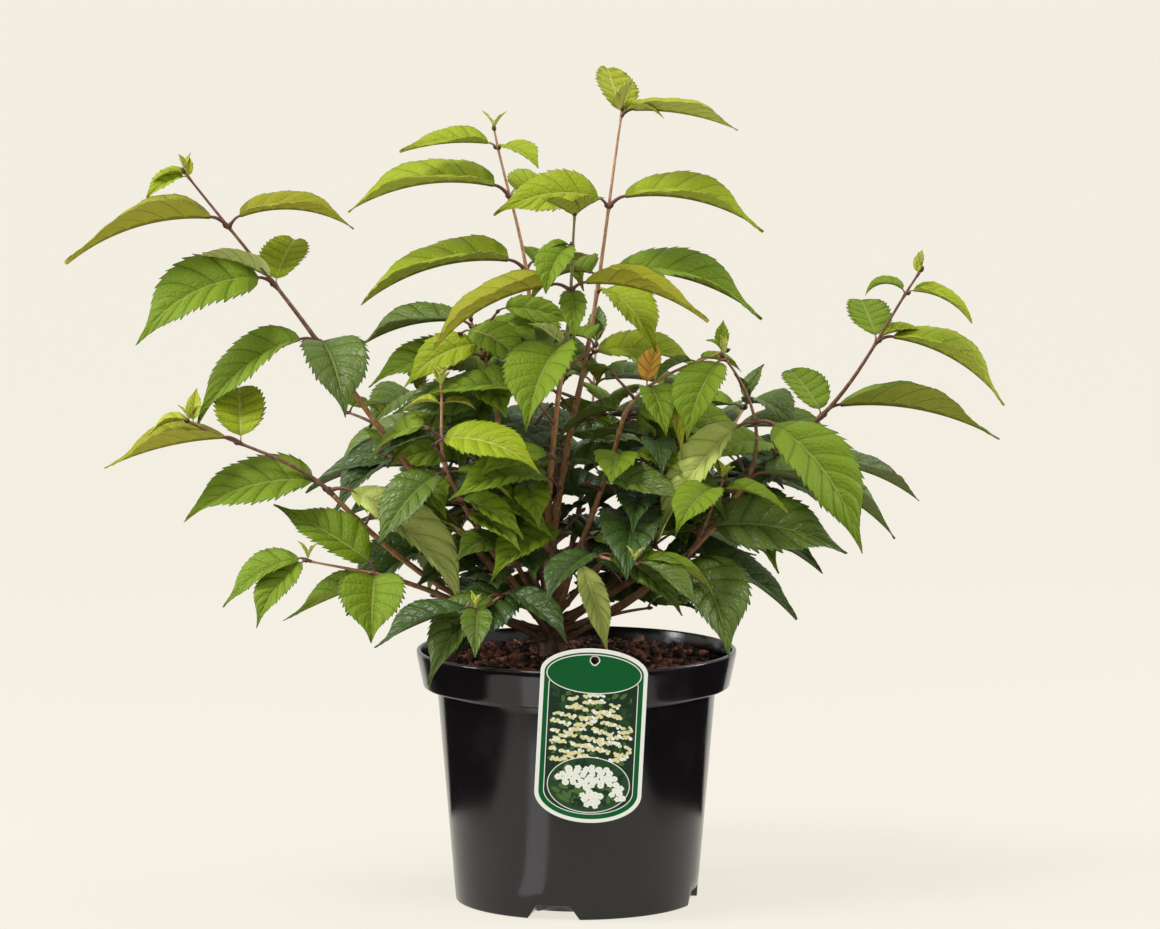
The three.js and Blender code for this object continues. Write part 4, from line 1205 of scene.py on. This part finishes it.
def trunk(sides=48, rows=44):
    """P(s, a) = line(s) + r(s)·(1 + relief(s, a))·(cos a, sin a, 0). The rings lie level, as in
    the solid. r(s) = neck + flare·exp(-s/0.28) + head·s³; the relief is root lobes that die
    away upwards, fluting and knots; the top is closed by a low dome."""
    share = np.linspace(-0.045, 1, rows)
    line = bezier(trunk_curve, share)
    foot, neck, head = (TRUNK[key + "_radius"] for key in ("foot", "neck", "head"))
    radius = neck + (foot - neck) * np.exp(-share / TRUNK["flare"]) + (head - neck) * share ** 3
    angle, up = around(sides), share[:, None]
    relief = 0.16 * np.exp(-up / 0.2) * np.sin(4 * angle + 0.7)
    for waves, size, drift in ((3, 0.05, 2), (5, 0.035, -3), (9, 0.03, 5), (14, 0.016, -9)):
        relief = relief + size * np.sin(waves * angle + drift * up + waves)
    for size, at, high, facing in ((0.10, 0.45, 0.06, 1.9), (0.12, 0.72, 0.05, -1.2)):
        knot = np.exp(-((up - at) / high) ** 2) * np.cos(angle - facing).clip(0) ** 2
        relief += size * knot
    reach = radius[:, None] * (1 + relief)
    reach = np.concatenate([reach, reach[-1:] * np.array(DOME["reach"])[:, None]])
    line = np.concatenate([line, line[-1:] + np.outer(DOME["rise"], UPRIGHT)])
    rings = line[:, None] + level_rings(reach, angle)
    closed_skin(stock, rings, [line[0], line[-1] + 0.1 * UPRIGHT])


trunk()
# The stock's bark is darker than the boughs': painted shade deep under the leaves.
trunk_skin = bark_finish("trunk_bark", (84, 58, 42), (44, 30, 24), (118, 92, 70), 0.75, 0.0005)
piece("trunk_bark", stock, [trunk_skin], "bark", "trunk")

# %% [markdown]
# ## The pot
#
# A nursery pot is moulded in thin black plastic: a tapering body, a deep collar that stands out
# from it, a lip, and wedge-shaped drain openings round the foot. It is a turned profile, so its
# surface is a function of the way along the profile and of the angle. Its corners are rounded
# in the profile, and the drain openings lift the profile's foot at four angles.


# %% Round the corners of a profile
def rounded(profile, radii, steps=5):
    """Each corner B between A and C becomes a short Bézier curve from B towards A to B towards
    C, cut back by the corner's radius or by 0.45 of the shorter side."""
    profile = np.asarray(profile, float)
    made = [profile[:1]]
    for i in range(1, len(profile) - 1):
        a, b, c = profile[i - 1:i + 2]
        cut = min(radii[i], 0.45 * np.linalg.norm(a - b), 0.45 * np.linalg.norm(c - b))
        if cut <= 0:
            made.append(b[None])
            continue
        start, end = b + unit(a - b) * cut, b + unit(c - b) * cut
        made.append(bezier([start, b, end], np.linspace(0, 1, steps)))
    return np.concatenate(made + [profile[-1:]])


def refined(profile, longest):
    """The profile with points added so that no step is longer than `longest`."""
    made = [profile[:1]]
    for a, b in zip(profile[:-1], profile[1:]):
        steps = max(1, math.ceil(np.linalg.norm(b - a) / longest))
        made.append(a + (b - a) * (np.arange(1, steps + 1) / steps)[:, None])
    return np.concatenate(made)


# %% The pot's surface
DRAIN = dict(first=-101, foot=31, head=20, height=8, inner=48)
DRAIN_TURNS = [DRAIN["first"] + 90 * k for k in range(4)]
FOOT_RADIUS, FLOOR = 72, 2.4
PROFILE = ((0, 0), (FOOT_RADIUS, 0), (82.7, 126.6), (91, 128.2), (95, 147), (95, 150), (92.6, 150),
           (89.2, 129.8), (80.9, 127), (70.2, FLOOR), (0, FLOOR))
CORNERS = (0, 0.8, 1.2, 1.3, 1.0, 1.1, 0.9, 1.2, 1.2, 1.5, 0)


def notch(radius, angle):
    """How high a drain opening lifts the underside at a radius and an angle: a ramp from its
    foot's half-width in to its head's, closed towards the middle of the pot."""
    lift = 0.0
    for turn in np.radians(DRAIN_TURNS):
        aside = np.abs(radius * np.sin(angle - turn))
        ahead = radius * np.cos(angle - turn)
        ramp = (DRAIN["foot"] / 2 - aside) / ((DRAIN["foot"] - DRAIN["head"]) / 2)
        closed = (ahead - DRAIN["inner"]) / 2.0
        lift = np.maximum(lift, DRAIN["height"] * np.clip(np.minimum(ramp, closed), 0, 1))
    return lift


def pot(batch):
    """P(u, a) = (r(u)·cos a, r(u)·sin a, z(u) + notch(r, a)·fade(z)), where (r, z)(u) is the
    rounded profile and fade goes from 1 at the foot to 0 at 14 mm up. The angles are even steps
    and, at each drain opening, a close pair about each end of its ramps."""
    profile = refined(rounded(PROFILE, CORNERS), 3.2)
    ends = [turn + sign * math.degrees(math.asin(DRAIN[width] / 2 / FOOT_RADIUS))
            for turn in DRAIN_TURNS for width in ("foot", "head") for sign in (1, -1)]
    close = [np.array(ends) + off for off in (0, 0.35, -0.35)]
    steps = np.concatenate([np.arange(0, 360, 2.25), *close])
    angle = np.radians(np.unique(np.round(steps % 360, 3)))
    r, z = profile[:, :1], profile[:, 1:]
    fade = np.clip((14 - z) / 14, 0, 1)
    outside = np.arange(len(profile))[:, None] <= np.argmax(profile[:, 1])
    below = notch(np.minimum(r, FOOT_RADIUS), angle) * fade
    above = notch(np.minimum(r + 2, FOOT_RADIUS), angle) * fade * (r < 82)
    rings = level_rings(r, angle, z + np.where(outside, below, above))[1:-1]
    closed_skin(batch, rings, [[0, 0, 0], [0, 0, FLOOR]])


shell = Batch()
pot(shell)
plastic = Finish("black_plastic", (17, 15, 18), 0.2, Specular_IOR_Level=0.5)
dust = plastic.blotches(34.0, 0.5, 0.72)
plastic.tint(dust, (46, 42, 40), 0.16)
plastic.rough(dust, 0.13, 0.23)
plastic.relief(plastic.blotches(900.0, 0.2, 0.8), 0.00004, 0.5)
piece("pot_shell", shell, [plastic.material], "pot_plastic", "pot")

# %% [markdown]
# ## Potting soil
#
# Potting mix is crumbs, fine bark and a few fibres. The filling is a turned body whose top is
# a lumpy height field, heaped up a little behind. The mix on it is many small chips: boxes of
# six faces with their corners pulled about, turned at random and dealt five brown finishes.

# %% Lumpy top
LEVEL, FALL, HEAP, LUMP = 138.6, 2.5, 4.6, 2.2  # the middle, and the most that each adds or takes
ground = np.random.default_rng(8)
lump_waves = ground.normal(0, 1, (60, 2)) * np.geomspace(0.03, 0.9, 60)[:, None]
lump_phase = ground.uniform(0, 2 * np.pi, 60)
lump_size = 0.85 * np.geomspace(1.0, 0.16, 60)


def lumps(x, y):
    """The sum of 60 seeded cosines, long waves high and short waves low, in millimetres."""
    wave = np.cos(lump_waves[:, 0] * x[..., None] + lump_waves[:, 1] * y[..., None] + lump_phase)
    return 0.42 * (wave * lump_size).sum(-1)


def soil_top(x, y):
    """Level in the middle, falling off towards the wall and heaped up behind, plus lumps."""
    fall = FALL * np.clip((np.hypot(x, y) - 55) / 34, 0, 1)
    heap = HEAP * smooth_step((y + 55) / 75)
    return LEVEL - fall + heap + np.clip(lumps(x, y), -LUMP, LUMP)


def soil(batch, sides=200):
    """A turned body of radius r and height z. On the top, z = soil_top(r·cos a, r·sin a)."""
    angle = around(sides)
    top = np.linspace(89.3, 1.2, 64)[:, None]
    upper = level_rings(top, angle, soil_top(top * np.cos(angle), top * np.sin(angle)))
    wall = np.array([(69.2, 11), (80.0, 126.8), (88.4, 131.0)])
    lower = level_rings(wall[:, :1], angle, wall[:, 1:])
    middle = soil_top(np.zeros(1), np.zeros(1))[0]
    closed_skin(batch, np.concatenate([lower, upper]), [[0, 0, 11], [0, 0, middle]])


def turns(count, flat):
    """Random turns as matrices: any heading about the upright, then tilted both ways by normal
    amounts of about `flat` radians."""
    a = ground.uniform(0, 2 * np.pi, count)
    b, c = ground.normal(0, flat, (2, count))
    (sa, sb, sc), (ca, cb, cc) = np.sin([a, b, c]), np.cos([a, b, c])
    zero, one = np.zeros(count), np.ones(count)
    spin = np.array([[ca, -sa, zero], [sa, ca, zero], [zero, zero, one]])
    pitch = np.array([[cb, zero, sb], [zero, one, zero], [-sb, zero, cb]])
    roll = np.array([[one, zero, zero], [zero, cc, -sc], [zero, sc, cc]])
    return np.einsum("ijn,jkn,kln->nil", spin, pitch, roll)


CUBE = np.array([(x, y, z) for x in (-1, 1) for y in (-1, 1) for z in (-1, 1)], float) / 2
CUBE_FACES = np.array([(0, 1, 3, 2), (4, 6, 7, 5), (0, 4, 5, 1), (2, 3, 7, 6), (0, 2, 6, 4),
                       (1, 5, 7, 3)])


def chips(batch, count, sizes, flat, reach, finishes):
    """Corner = place + turn · (size · (corner of a cube + a random pull of a fifth))."""
    radius = reach * np.sqrt(ground.uniform(0.0, 1, count))
    heading = ground.uniform(0, 2 * np.pi, count)
    x, y = radius * np.cos(heading), radius * np.sin(heading)
    size = np.asarray(sizes) * ground.uniform(0.5, 1.25, (count, 3))
    corners = (CUBE + ground.uniform(-0.2, 0.2, (count, 8, 3))) * size[:, None]
    corners = np.einsum("nij,nkj->nki", turns(count, flat), corners)
    place = np.stack([x, y, soil_top(x, y) + 0.25 * size[:, 2]], 1)
    faces = (CUBE_FACES + 8 * np.arange(count)[:, None, None]).reshape(-1, 4)
    finish = np.repeat(ground.choice(finishes, count), len(CUBE_FACES))
    batch.add(corners + place[:, None], faces, finish={4: finish})


def fibre(batch):
    """A thin tube that wanders over the mix, kept inside the pot."""
    start = np.append(ground.uniform(-58, 58, 2), 0)
    ways = ground.normal(0, 9, (3, 3)) * (1, 1, 0.12)
    path = bezier([start, *(start + np.cumsum(ways, axis=0))], np.linspace(0, 1, 8))
    path[:, :2] *= np.minimum(1, 84 / np.hypot(path[:, 0], path[:, 1]))[:, None]
    path[:, 2] += soil_top(path[:, 0], path[:, 1]) + 0.7
    tube(batch, path, np.full(8, 0.28), 5, PALE)


# %% Fill the pot
CRUMB, BARK, DARK, PALE, RED_BARK = range(5)
fill, chip_batch = Batch(), Batch()
soil(fill)
for chip_kind in ((1100, (4.4, 3.2, 2.6), 0.6, 85, [CRUMB, CRUMB, BARK, DARK]),
                  (620, (8.0, 4.6, 2.6), 0.4, 83, [CRUMB, BARK, BARK, DARK, RED_BARK]),
                  (110, (14.0, 5.0, 2.6), 0.3, 78, [BARK, RED_BARK, DARK]),
                  (30, (7.5, 3.6, 1.6), 0.3, 82, [PALE])):
    chips(chip_batch, *chip_kind)
for _ in range(70):
    fibre(chip_batch)


def soil_finish(name, base, dark, pale, scale):
    """Dark and pale blotches, and crumbs that roughen and raise the surface."""
    finish = Finish(name, base, 0.92, Specular_IOR_Level=0.25)
    finish.tint(finish.blotches(scale, 0.42, 0.6), dark, 0.8)
    finish.tint(finish.blotches(scale * 2.3, 0.58, 0.7), pale, 0.5)
    crumbs = finish.blotches(scale * 1.6, 0.25, 0.75)
    finish.rough(crumbs, 0.98, 0.8)
    finish.relief(crumbs, 0.0012, 0.8)
    return finish.material


SOILS = {  # base, dark and pale tones and the scale of the blotches, in the order of the finishes
    "soil_crumb": ((70, 42, 32), (30, 19, 16), (112, 74, 56), 500.0),
    "soil_bark": ((126, 80, 62), (66, 40, 32), (170, 122, 98), 350.0),
    "soil_dark": ((42, 28, 24), (22, 16, 14), (78, 54, 42), 420.0),
    "soil_pale": ((190, 152, 112), (140, 104, 72), (210, 182, 142), 300.0),
    "soil_red_bark": ((158, 102, 80), (92, 54, 44), (190, 140, 114), 300.0),
}
soil_skins = [soil_finish(name, *tones) for name, tones in SOILS.items()]
piece("soil_fill", fill, [soil_skins[0]], "soil", "potting_soil")
piece("bark_chips", chip_batch, soil_skins, "soil", "potting_soil")

# %% [markdown]
# ## The care label
#
# The label is one piece of thin plastic: a tall plate with round ends and a hole, and a tongue
# that hooks over the rim. Its printing is a green field with an empty oval for a name and a
# picture of a flowering bush, with no words. Ink has no thickness worth the name, but a print
# made of thin raised shapes keeps its place and its crisp edges with no picture file.

# %% Label plate
LABEL = dict(width=62, height=102, thickness=0.8, crown=14, heel=17.5, centre_x=8.4, foot=62,
             lean=3, hole=2.4, hole_drop=7, front=-96.1)
INK = 0.03  # height of one layer of print
label = Batch()


def hung(flat, depth):
    """Flat label points (x, z) and a depth behind its front face, leaned and put in place."""
    lean = math.radians(LABEL["lean"])
    x, z = flat[..., 0], flat[..., 1]
    place_x = x * math.cos(lean) + z * math.sin(lean) + LABEL["centre_x"]
    place_z = -x * math.sin(lean) + z * math.cos(lean) + LABEL["foot"] + LABEL["height"] / 2
    return np.stack([place_x, LABEL["front"] + depth + 0 * x, place_z], -1)


def tag(inset=0.0, top=None):
    """The label's outline, drawn in by `inset`: half an ellipse at the head, half a deeper one at
    the foot and straight sides between. `top` gives another height for the head."""
    angle = around(160)
    head, foot = LABEL["crown"] - inset * 0.75, LABEL["heel"] - inset * 0.75
    high = LABEL["height"] / 2 - inset if top is None else top
    low = -LABEL["height"] / 2 + inset
    upper = angle < np.pi
    rise = np.where(upper, high - head, low + foot) + np.where(upper, head, foot) * np.sin(angle)
    return np.stack([(LABEL["width"] / 2 - inset) * np.cos(angle), rise], -1)


def ringed(inner, outer, front, rear, finish):
    """A closed plate between two rings that have a point each in every direction. Its rows go
    from the inner ring over the front to the outer ring and back over the rear."""
    across = [inner, inner * 0.6 + outer * 0.4, outer - 0.3 * unit(outer - inner)]
    rows = np.stack([*across, outer, *across[::-1]])
    depth = np.array([front] * 3 + [(front + rear) / 2] + [rear] * 3)
    points = hung(rows, depth[:, None])
    count, sides = points.shape[:2]
    label.add(points, grid_faces(count + 1, sides, True) % (count * sides), None, finish)


def panel(outline, centre, level, finish):
    """A thin closed layer of print: its outline is star-shaped about its centre, so both faces
    are fans. Layer 0 lies on the label, and each level is one layer further out."""
    depths = -INK * (level + 1), -INK * level
    rings, poles = (np.stack([hung(np.asarray(flat, float), depth) for depth in depths])
                    for flat in (outline, centre))
    closed_skin(label, rings, poles, finish)


WHITE, GREEN, DEEP, CREAM, LEAF_INK, DARK_LEAF = range(6)
hole_at = np.array([0, LABEL["height"] / 2 - LABEL["hole_drop"]])


def round_hole(outline, radius):
    """A ring round the label's hole with a point towards each point of the outline."""
    return hole_at + radius * unit(outline - hole_at)


plate, field = tag(), tag(2.3)
ringed(round_hole(plate, LABEL["hole"]), plate, 0.0, LABEL["thickness"], WHITE)
ringed(round_hole(field, LABEL["hole"] + 0.7), field, -INK, 0.0, GREEN)
print("label plate and green field:", label.triangles(), "triangles")

# %% Shapes of the print
picture = np.random.default_rng(21)
small = around(10)


def oval(across, high, middle):
    """The outline of an ellipse whose centre is at (0, middle)."""
    return level_rings(1.0, around(120))[:, :2] * (across, high) + (0, middle)


def printed_leaf(at, sizes, level, finishes):
    """A leaf shape: an ellipse with a pinched end, turned any way."""
    size, way = picture.uniform(*sizes), picture.uniform(0, 2 * np.pi)
    wide = 0.45 * size * np.sin(small) * (1 - 0.35 * np.cos(small))
    shape = np.stack([size * np.cos(small), wide], -1)
    turned = shape @ np.array([[math.cos(way), math.sin(way)], [-math.sin(way), math.cos(way)]])
    panel(turned + at, at, level + picture.uniform(0, 0.8), picture.choice(finishes))


def printed_flower(at, size, level, finish):
    """Five round petals: the edge is size·(0.75 + 0.25·|cos(2.5·angle)|) out, a bit squashed."""
    edge = size * (0.75 + 0.25 * np.abs(np.cos(2.5 * small + at[0])))
    panel(level_rings(edge, small)[:, :2] * (1, 0.85) + at, at, level, finish)


# %% Print the picture
FOOT_OVAL, NAME_OVAL = -28.6, 36.2  # how high the middles of the two ovals lie
panel(tag(5.0, 40.0), (0, -6), 1, WHITE)
panel(tag(5.5, 39.6), (0, -6), 2, DEEP)
# Leaves fill the ground, and flowers stand on them in level tiers, as the bush bears them.
for _ in range(300):
    at = picture.uniform((-23, -42), (23, 30))
    if at[1] > -18 or (at[0] / 23) ** 2 + ((at[1] + 28) / 14) ** 2 < 1:
        printed_leaf(at, (1.2, 2.8), 3, [LEAF_INK, DARK_LEAF, DEEP, DARK_LEAF])
for tier, high in enumerate(np.linspace(23, -13, 10)):
    spread = 7 + 16 * min(1, (tier + 1) / 5)
    offset = picture.uniform(-4, 4) * (tier < 4)
    for x in np.arange(-spread, spread, 0.85):
        rise = 1.3 * math.sin(0.22 * x + 1.7 * tier) + picture.uniform(-0.9, 0.9)
        if math.sin(0.4 * x + 2.3 * tier) > -0.85:
            at = np.array([np.clip(x + offset, -23.5, 23.5), high + rise])
            printed_flower(at, picture.uniform(0.8, 1.5), 4 + 0.8 * picture.random(),
                           picture.choice([CREAM, CREAM, CREAM, WHITE]))
# The oval at the foot holds three large heads, and the oval at the top is left for the name.
panel(oval(24.0, 16.4, FOOT_OVAL), (0, FOOT_OVAL), 5, WHITE)
panel(oval(23.5, 15.9, FOOT_OVAL), (0, FOOT_OVAL), 6, DARK_LEAF)
for _ in range(70):
    way, away = picture.uniform(0, 2 * np.pi), math.sqrt(picture.uniform(0, 1))
    at = np.array([20 * away * math.cos(way), FOOT_OVAL + 13 * away * math.sin(way)])
    printed_leaf(at, (2.0, 3.2), 7, [LEAF_INK, DEEP])
for centre, reach, count in (((-1, -24), (17, 6.5), 40), ((2, -36.5), (6, 5), 11),
                             ((17, -33), (4, 5.5), 7)):
    for k in range(count):
        way = np.array([math.cos(2.4 * k), math.sin(2.4 * k)])
        at = centre + np.array(reach) * math.sqrt((k + 0.5) / count) * way
        printed_flower(at, picture.uniform(1.9, 2.5), 8 + 0.8 * (count - k) / count, WHITE)
        printed_flower(at, 0.5, 9, CREAM)
for across, high, level, finish in ((27.6, 11.6, 10, WHITE), (27.0, 11.0, 11, GREEN)):
    edge = oval(across, high, NAME_OVAL)
    ringed(round_hole(edge, LABEL["hole"] + 0.7), edge, -INK * (level + 1), -INK * level, finish)
print("printed label:", label.triangles(), "triangles")


# %% Tongue over the rim
TONGUE = dict(front=-95.7, back=-90.3, over=150.3, width=22, half_thickness=0.35)


def tongue():
    """A strip bent over the rim and down inside it: its rounded section in y and z is carried
    across the label's width."""
    front, back, over = (TONGUE[key] for key in ("front", "back", "over"))
    middle = rounded([(front, over + 0.1), (front + 0.2, over + 0.45), (back + 0.2, over + 0.45),
                      (back + 3.8, over - 11)], [0, 0.8, 0.8, 0], 6)
    step = np.gradient(middle, axis=0)
    side = unit(np.stack([-step[:, 1], step[:, 0]], -1)) * TONGUE["half_thickness"]
    y, z = np.concatenate([middle + side, (middle - side)[::-1]]).T
    across = LABEL["centre_x"] + np.linspace(-TONGUE["width"] / 2, TONGUE["width"] / 2, 5)
    rings = np.stack([np.stack([x + 0 * y, y, z], -1) for x in across])
    closed_skin(label, rings, rings[[0, -1]].mean(1))


tongue()


# %% Inks
def ink_finish(name, base, roughness=0.34):
    """A plain satin colour with a faint unevenness."""
    finish = Finish(name, base, roughness, Specular_IOR_Level=0.3)
    faint = finish.blotches(160.0, 0.3, 0.8)
    finish.rough(faint, roughness - 0.05, roughness + 0.1)
    finish.relief(faint, 0.00003, 0.3)
    return finish.material


INKS = dict(white=(226, 230, 224), green=(0, 88, 40), deep_green=(26, 52, 34),
            cream=(214, 208, 160), leaf_green=(74, 104, 52), dark_leaf=(38, 70, 40))
label_skins = [ink_finish("label_" + name, base) for name, base in INKS.items()]
piece("care_label_print", label, label_skins, "label_plastic", "care_label", smooth=False)

# %% [markdown]
# ## Floor, light and camera
#
# A plain cream floor runs far enough back to fill the view. A large soft sun from the upper
# left front lights the leaves, and an even sky fills the shadows. The glossy pot shows its
# surroundings, so it gets its own: tall soft boxes for the bright strips on its sides, and
# two cards on the floor that only reflections see, a wide dark one and a small glowing one
# that paints a pale band of reflection on the pot.


# %% Floor
def staged(name, points, faces, finish):
    """A flat mesh that is part of the stage."""
    made = bpy.data.meshes.new(name)
    made.from_pydata(points.tolist(), [], faces)
    made.materials.append(finish.material)
    placed = linked(name, made)
    return placed


paper = Finish("floor_paper", (89, 87, 82), 0.9, Specular_IOR_Level=0.0,
               Emission_Color=colour(225, 221, 210), Emission_Strength=1.0)
paper.rough(paper.blotches(0.6, 0.3, 0.7), 0.88, 0.94)
circle = level_rings(60.0, around(96), -0.0003)
staged("floor", circle, [range(len(circle))], paper)

# %% Cards that only reflections see
aside = np.linspace(-140, 140, 145)


def ring_card(name, inner, outer, heading, half_angle, height, finish):
    """A flat piece of a ring on the floor: points on two arcs about a heading, joined in a strip.
    The radii may be numbers or one for each direction."""
    angle = np.radians(heading + np.linspace(-half_angle, half_angle, len(aside)))
    arcs = np.concatenate([level_rings(radius, angle, height) for radius in (inner, outer)])
    placed = staged(name, arcs, grid_faces(2, len(aside), False).tolist(), finish)
    placed.visible_camera = placed.visible_diffuse = placed.visible_shadow = False
    placed.visible_transmission = placed.visible_volume_scatter = False


# The dark card starts further out at two headings, where the pot mirrors the pale floor.
card_edge = 0.26 + 0.24 * sum(np.exp(-((aside - at) / 15) ** 2) for at in (-46, 38))
ring_card("dark_card", card_edge, 8.0, -90, 140, 0.002,
          Finish("card_black", (9, 8, 10), 1.0, Specular_IOR_Level=0.0))
# A small glowing card that only reflections see: a painted reflection, a pale band on the pot.
ring_card("pale_card", 0.10, 0.40, -119, 8, 0.003,
          Finish("card_pale", (10, 10, 10), 1.0, Specular_IOR_Level=0.0,
                 Emission_Color=(1, 0.97, 0.95, 1), Emission_Strength=1.9))

# %% Light
world = bpy.data.worlds.new("studio")
world.use_nodes = True
sky = world.node_tree
for name, shade, strength in (("Background", (1.0, 0.985, 0.95, 1), 0.72),
                              ("Backdrop", colour(242, 237, 225), 1.0)):
    glow = sky.nodes.get(name) or sky.nodes.new("ShaderNodeBackground")
    glow.name = name
    glow.inputs["Color"].default_value, glow.inputs["Strength"].default_value = shade, strength
seen, either = sky.nodes.new("ShaderNodeLightPath"), sky.nodes.new("ShaderNodeMixShader")
sky.links.new(seen.outputs["Is Camera Ray"], either.inputs[0])
sky.links.new(sky.nodes["Background"].outputs[0], either.inputs[1])
sky.links.new(sky.nodes["Backdrop"].outputs[0], either.inputs[2])
sky.links.new(either.outputs[0], sky.nodes["World Output"].inputs["Surface"])
bpy.context.scene.world = world


def aimed(name, data, place, target):
    """A lamp at a place, turned towards the target."""
    lamp = linked(name, data)
    lamp.location = place
    lamp.rotation_euler = (Vector(target) - Vector(place)).to_track_quat("-Z", "Y").to_euler()
    return lamp


sun = bpy.data.lights.new("key", "SUN")
sun.energy, sun.angle, sun.color = 2.3, math.radians(20), (1.0, 0.97, 0.9)
aimed("key", sun, (-1.0, -0.8, 2.6), (0, 0, 0.2))
for name, x, y, energy in (("strip_left", -1.4, -0.2, 14.0), ("strip_right", 1.4, 0.2, 11.0)):
    strip = bpy.data.lights.new(name, "AREA")
    strip.shape, strip.size, strip.size_y, strip.energy = "RECTANGLE", 0.3, 0.9, energy
    lamp = aimed(name, strip, (x, y, 0.8), (0, 0, 0.3))
    lamp.visible_camera = False

# %% Camera
camera_data = bpy.data.cameras.new("camera")
camera_data.sensor_width, camera_data.lens = 36.0, 168.83
camera_data.clip_end = 200.0
camera = linked("camera", camera_data)
camera.location = (0.0021, -3.2, 0.625)
camera.rotation_euler = (math.radians(90 - 6.51), 0, 0)
bpy.context.scene.camera = camera
bpy.context.scene.view_settings.view_transform = "Standard"
print("camera", tuple(round(c, 3) for c in camera.location), "lens", camera_data.lens)
